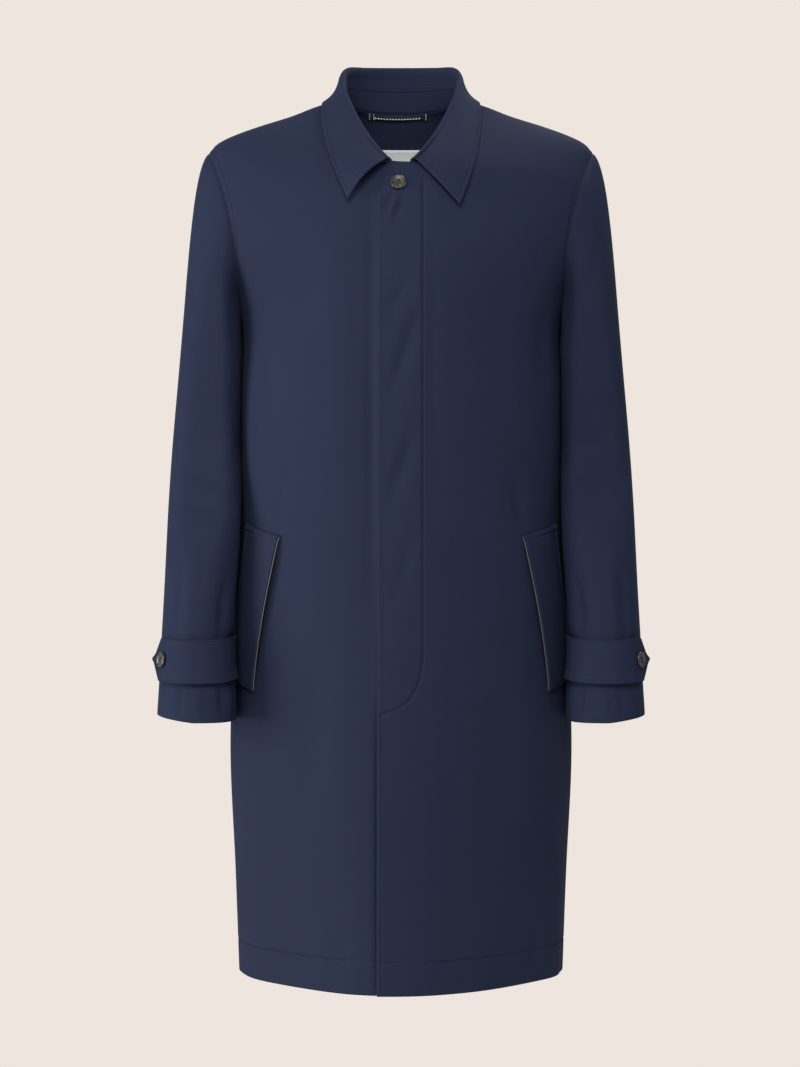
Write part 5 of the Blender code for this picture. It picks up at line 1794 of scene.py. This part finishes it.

# %% [markdown]
# ## Finishes, bodies and solids
# Every piece gets its finish, rides on the coat's one body and stands for its solid, which is hidden.
# The table of cuts also lists the size that each cloth piece was cut to; it is not set on the pieces.

# %% Finishes, bodies and cuts
CUT_COLUMNS = ("piece", "node", "width", "length", "area", "held")
CUTS = (
    (back, "back", 0.62, 1.02, 0.51, "hung"),
    (front_left, "front_left", 0.34, 1.02, 0.28, "hung"),
    (front_right, "front_right", 0.34, 1.02, 0.28, "hung"),
    (sleeve_left, "sleeve_left", 0.38, 0.65, 0.19, "hung"),
    (sleeve_right, "sleeve_right", 0.38, 0.65, 0.19, "hung"),
    (collar_stand, "collar_stand", 0.42, 0.022, 0.0074, "stretched"),
    (collar_leaf, "collar_leaf", 0.50, 0.11, 0.044, "folded"),
    (welt_left, "pocket_welt_left", 0.066, 0.18, None, "laid"),
    (welt_right, "pocket_welt_right", 0.066, 0.18, None, "laid"),
    (strap_left, "cuff_strap_left", 0.15, 0.048, None, "laid"),
    (strap_right, "cuff_strap_right", 0.15, 0.048, None, "laid"),
)
for row in CUTS:
    cut = dict(zip(CUT_COLUMNS, row))
    piece = cut["piece"]
    piece.data.materials.append(navy)
    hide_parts(cut["node"])
    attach(piece, "root")

label.data.materials.append(white_label)
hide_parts("neck_label")
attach(label, "root")

TRIM = (
    (hanger_loop, "hanger_loop", "loop_tape", black_tape),
    (tabs[1], "loop_tab_left", "loop_tape", black_tape),
    (tabs[-1], "loop_tab_right", "loop_tape", black_tape),
    (pipings[1], "pocket_piping_left", "piping", None),
    (pipings[-1], "pocket_piping_right", "piping", None),
    (button_neck[0], "button_neck", "horn", horn),
    (strap_buttons[1][0], "button_cuff_left", "horn", horn),
    (strap_buttons[-1][0], "button_cuff_right", "horn", horn),
    (body_rows, None, "coat_cloth", None),
    (trim_rows, None, "coat_cloth", None),
    (white_rows, None, "label", None),
    (tack_rows, None, "label", None),
    (label_rows, None, "label", None),
    # The buttons' thread is the darker navy: painted shade.
    (button_neck[1], None, "coat_cloth", navy_stitch_painted_shade),
    (strap_buttons[1][1], None, "coat_cloth", navy_stitch_painted_shade),
    (strap_buttons[-1][1], None, "coat_cloth", navy_stitch_painted_shade),
)
for piece, node, slot, material in TRIM:
    if material is not None:
        piece.data.materials.append(material)
    if node is not None:
        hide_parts(node)
    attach(piece, "root")
print("pieces", len(CUTS) + 1 + len(TRIM))

# %% [markdown]
# ## Studio
# The coat is shown from straight ahead, against an even warm white. A large light from the left models
# the cloth, a high one and a soft one in front fill it, and one behind the right shoulder draws its
# outline. A pale floor lies well below the hem. The backdrop is the world's colour, which only the
# camera sees, so that it stays even however the coat is lit.

# %% Camera
CAMERA_PLACE = (-0.0012, -2.6, -0.506)
FRAME_HEIGHT = 1.238
SENSOR = 36.0

scene = bpy.context.scene
camera = bpy.data.cameras.new("camera")
camera.sensor_width = SENSOR
camera.lens = camera.sensor_width * -CAMERA_PLACE[1] / FRAME_HEIGHT
viewer = bpy.data.objects.new("camera", camera)
viewer.location = CAMERA_PLACE
viewer.rotation_euler = (math.pi / 2, 0, 0)
scene.collection.objects.link(viewer)
scene.camera = viewer
scene.view_settings.view_transform = "Standard"
print("lens", round(camera.lens, 1), "mm")

# %% Backdrop
BACKDROP = (0.855, 0.791, 0.730)
AMBIENT, AMBIENT_COLOUR = 0.31, (0.78, 0.88, 1.0)

world = bpy.data.worlds.new("studio")
world.use_nodes = True
scene.world = world
air = world.node_tree
air.nodes.clear()
seen = air.nodes.new("ShaderNodeBackground")
seen.inputs["Color"].default_value = (*BACKDROP, 1)
felt = air.nodes.new("ShaderNodeBackground")
felt.inputs["Color"].default_value = (*AMBIENT_COLOUR, 1)
felt.inputs["Strength"].default_value = AMBIENT
ray = air.nodes.new("ShaderNodeLightPath")
either = air.nodes.new("ShaderNodeMixShader")
end = air.nodes.new("ShaderNodeOutputWorld")
air.links.new(ray.outputs["Is Camera Ray"], either.inputs[0])
air.links.new(felt.outputs[0], either.inputs[1])
air.links.new(seen.outputs[0], either.inputs[2])
air.links.new(either.outputs[0], end.inputs[0])
print("world", world.name, "has", len(air.nodes), "nodes")

# %% Floor
FLOOR_PLACE = (0, -0.3, -1.55)
FLOOR_RADIUS, FLOOR_SIDES = 2.0, 96
FLOOR_DARK, FLOOR_LIGHT = (0.74, 0.69, 0.64), (0.78, 0.73, 0.68)
FLOOR_SCALE = 3.0

shape = bmesh.new()
bmesh.ops.create_circle(shape, cap_ends=True, segments=FLOOR_SIDES, radius=FLOOR_RADIUS)
floor_mesh = mesh_from(shape, "floor")
floor_mesh.transform(Matrix.Translation(FLOOR_PLACE))
floor = add_piece("floor", floor_mesh)
floor_finish = Finish("pale floor", Roughness=0.9)
floor_spot = floor_finish.node("ShaderNodeTexCoord", {}, {}, output="Object")
floor_shade = floor_finish.noise(floor_spot, FLOOR_SCALE)
floor_finish.set("Base Color", floor_finish.colours(floor_shade, FLOOR_DARK, FLOOR_LIGHT))
floor.data.materials.append(floor_finish.material)
print("floor at", FLOOR_PLACE[2])

# %% Lights
LIGHT_COLUMNS = ("name", "place", "aim", "width", "power")
LIGHTS = (
    ("side", (-3.4, -0.9, -0.3), (0, 0, -0.45), 2.0, 90.0),
    ("high", (-0.3, -2.4, 1.4), (0, 0, -0.30), 1.4, 37.0),
    ("front", (0.0, -3.0, 0.6), (0, 0, -0.30), 2.4, 26.0),
    ("rim", (1.0, 1.5, 2.2), (0.15, 0, -0.1), 1.0, 34.0),
)
for row in LIGHTS:
    light = dict(zip(LIGHT_COLUMNS, row))
    lamp = bpy.data.lights.new(light["name"], "AREA")
    lamp.size = light["width"]
    lamp.energy = light["power"]
    holder = bpy.data.objects.new(light["name"], lamp)
    holder.location = light["place"]
    aim = Vector(light["aim"]) - Vector(light["place"])
    holder.rotation_euler = aim.to_track_quat("-Z", "Y").to_euler()
    scene.collection.objects.link(holder)
print("lights:", [row[0] for row in LIGHTS])

# %% [markdown]
# ## Closing
# The view layer is brought up to date.

# %% The end
bpy.context.view_layer.update()
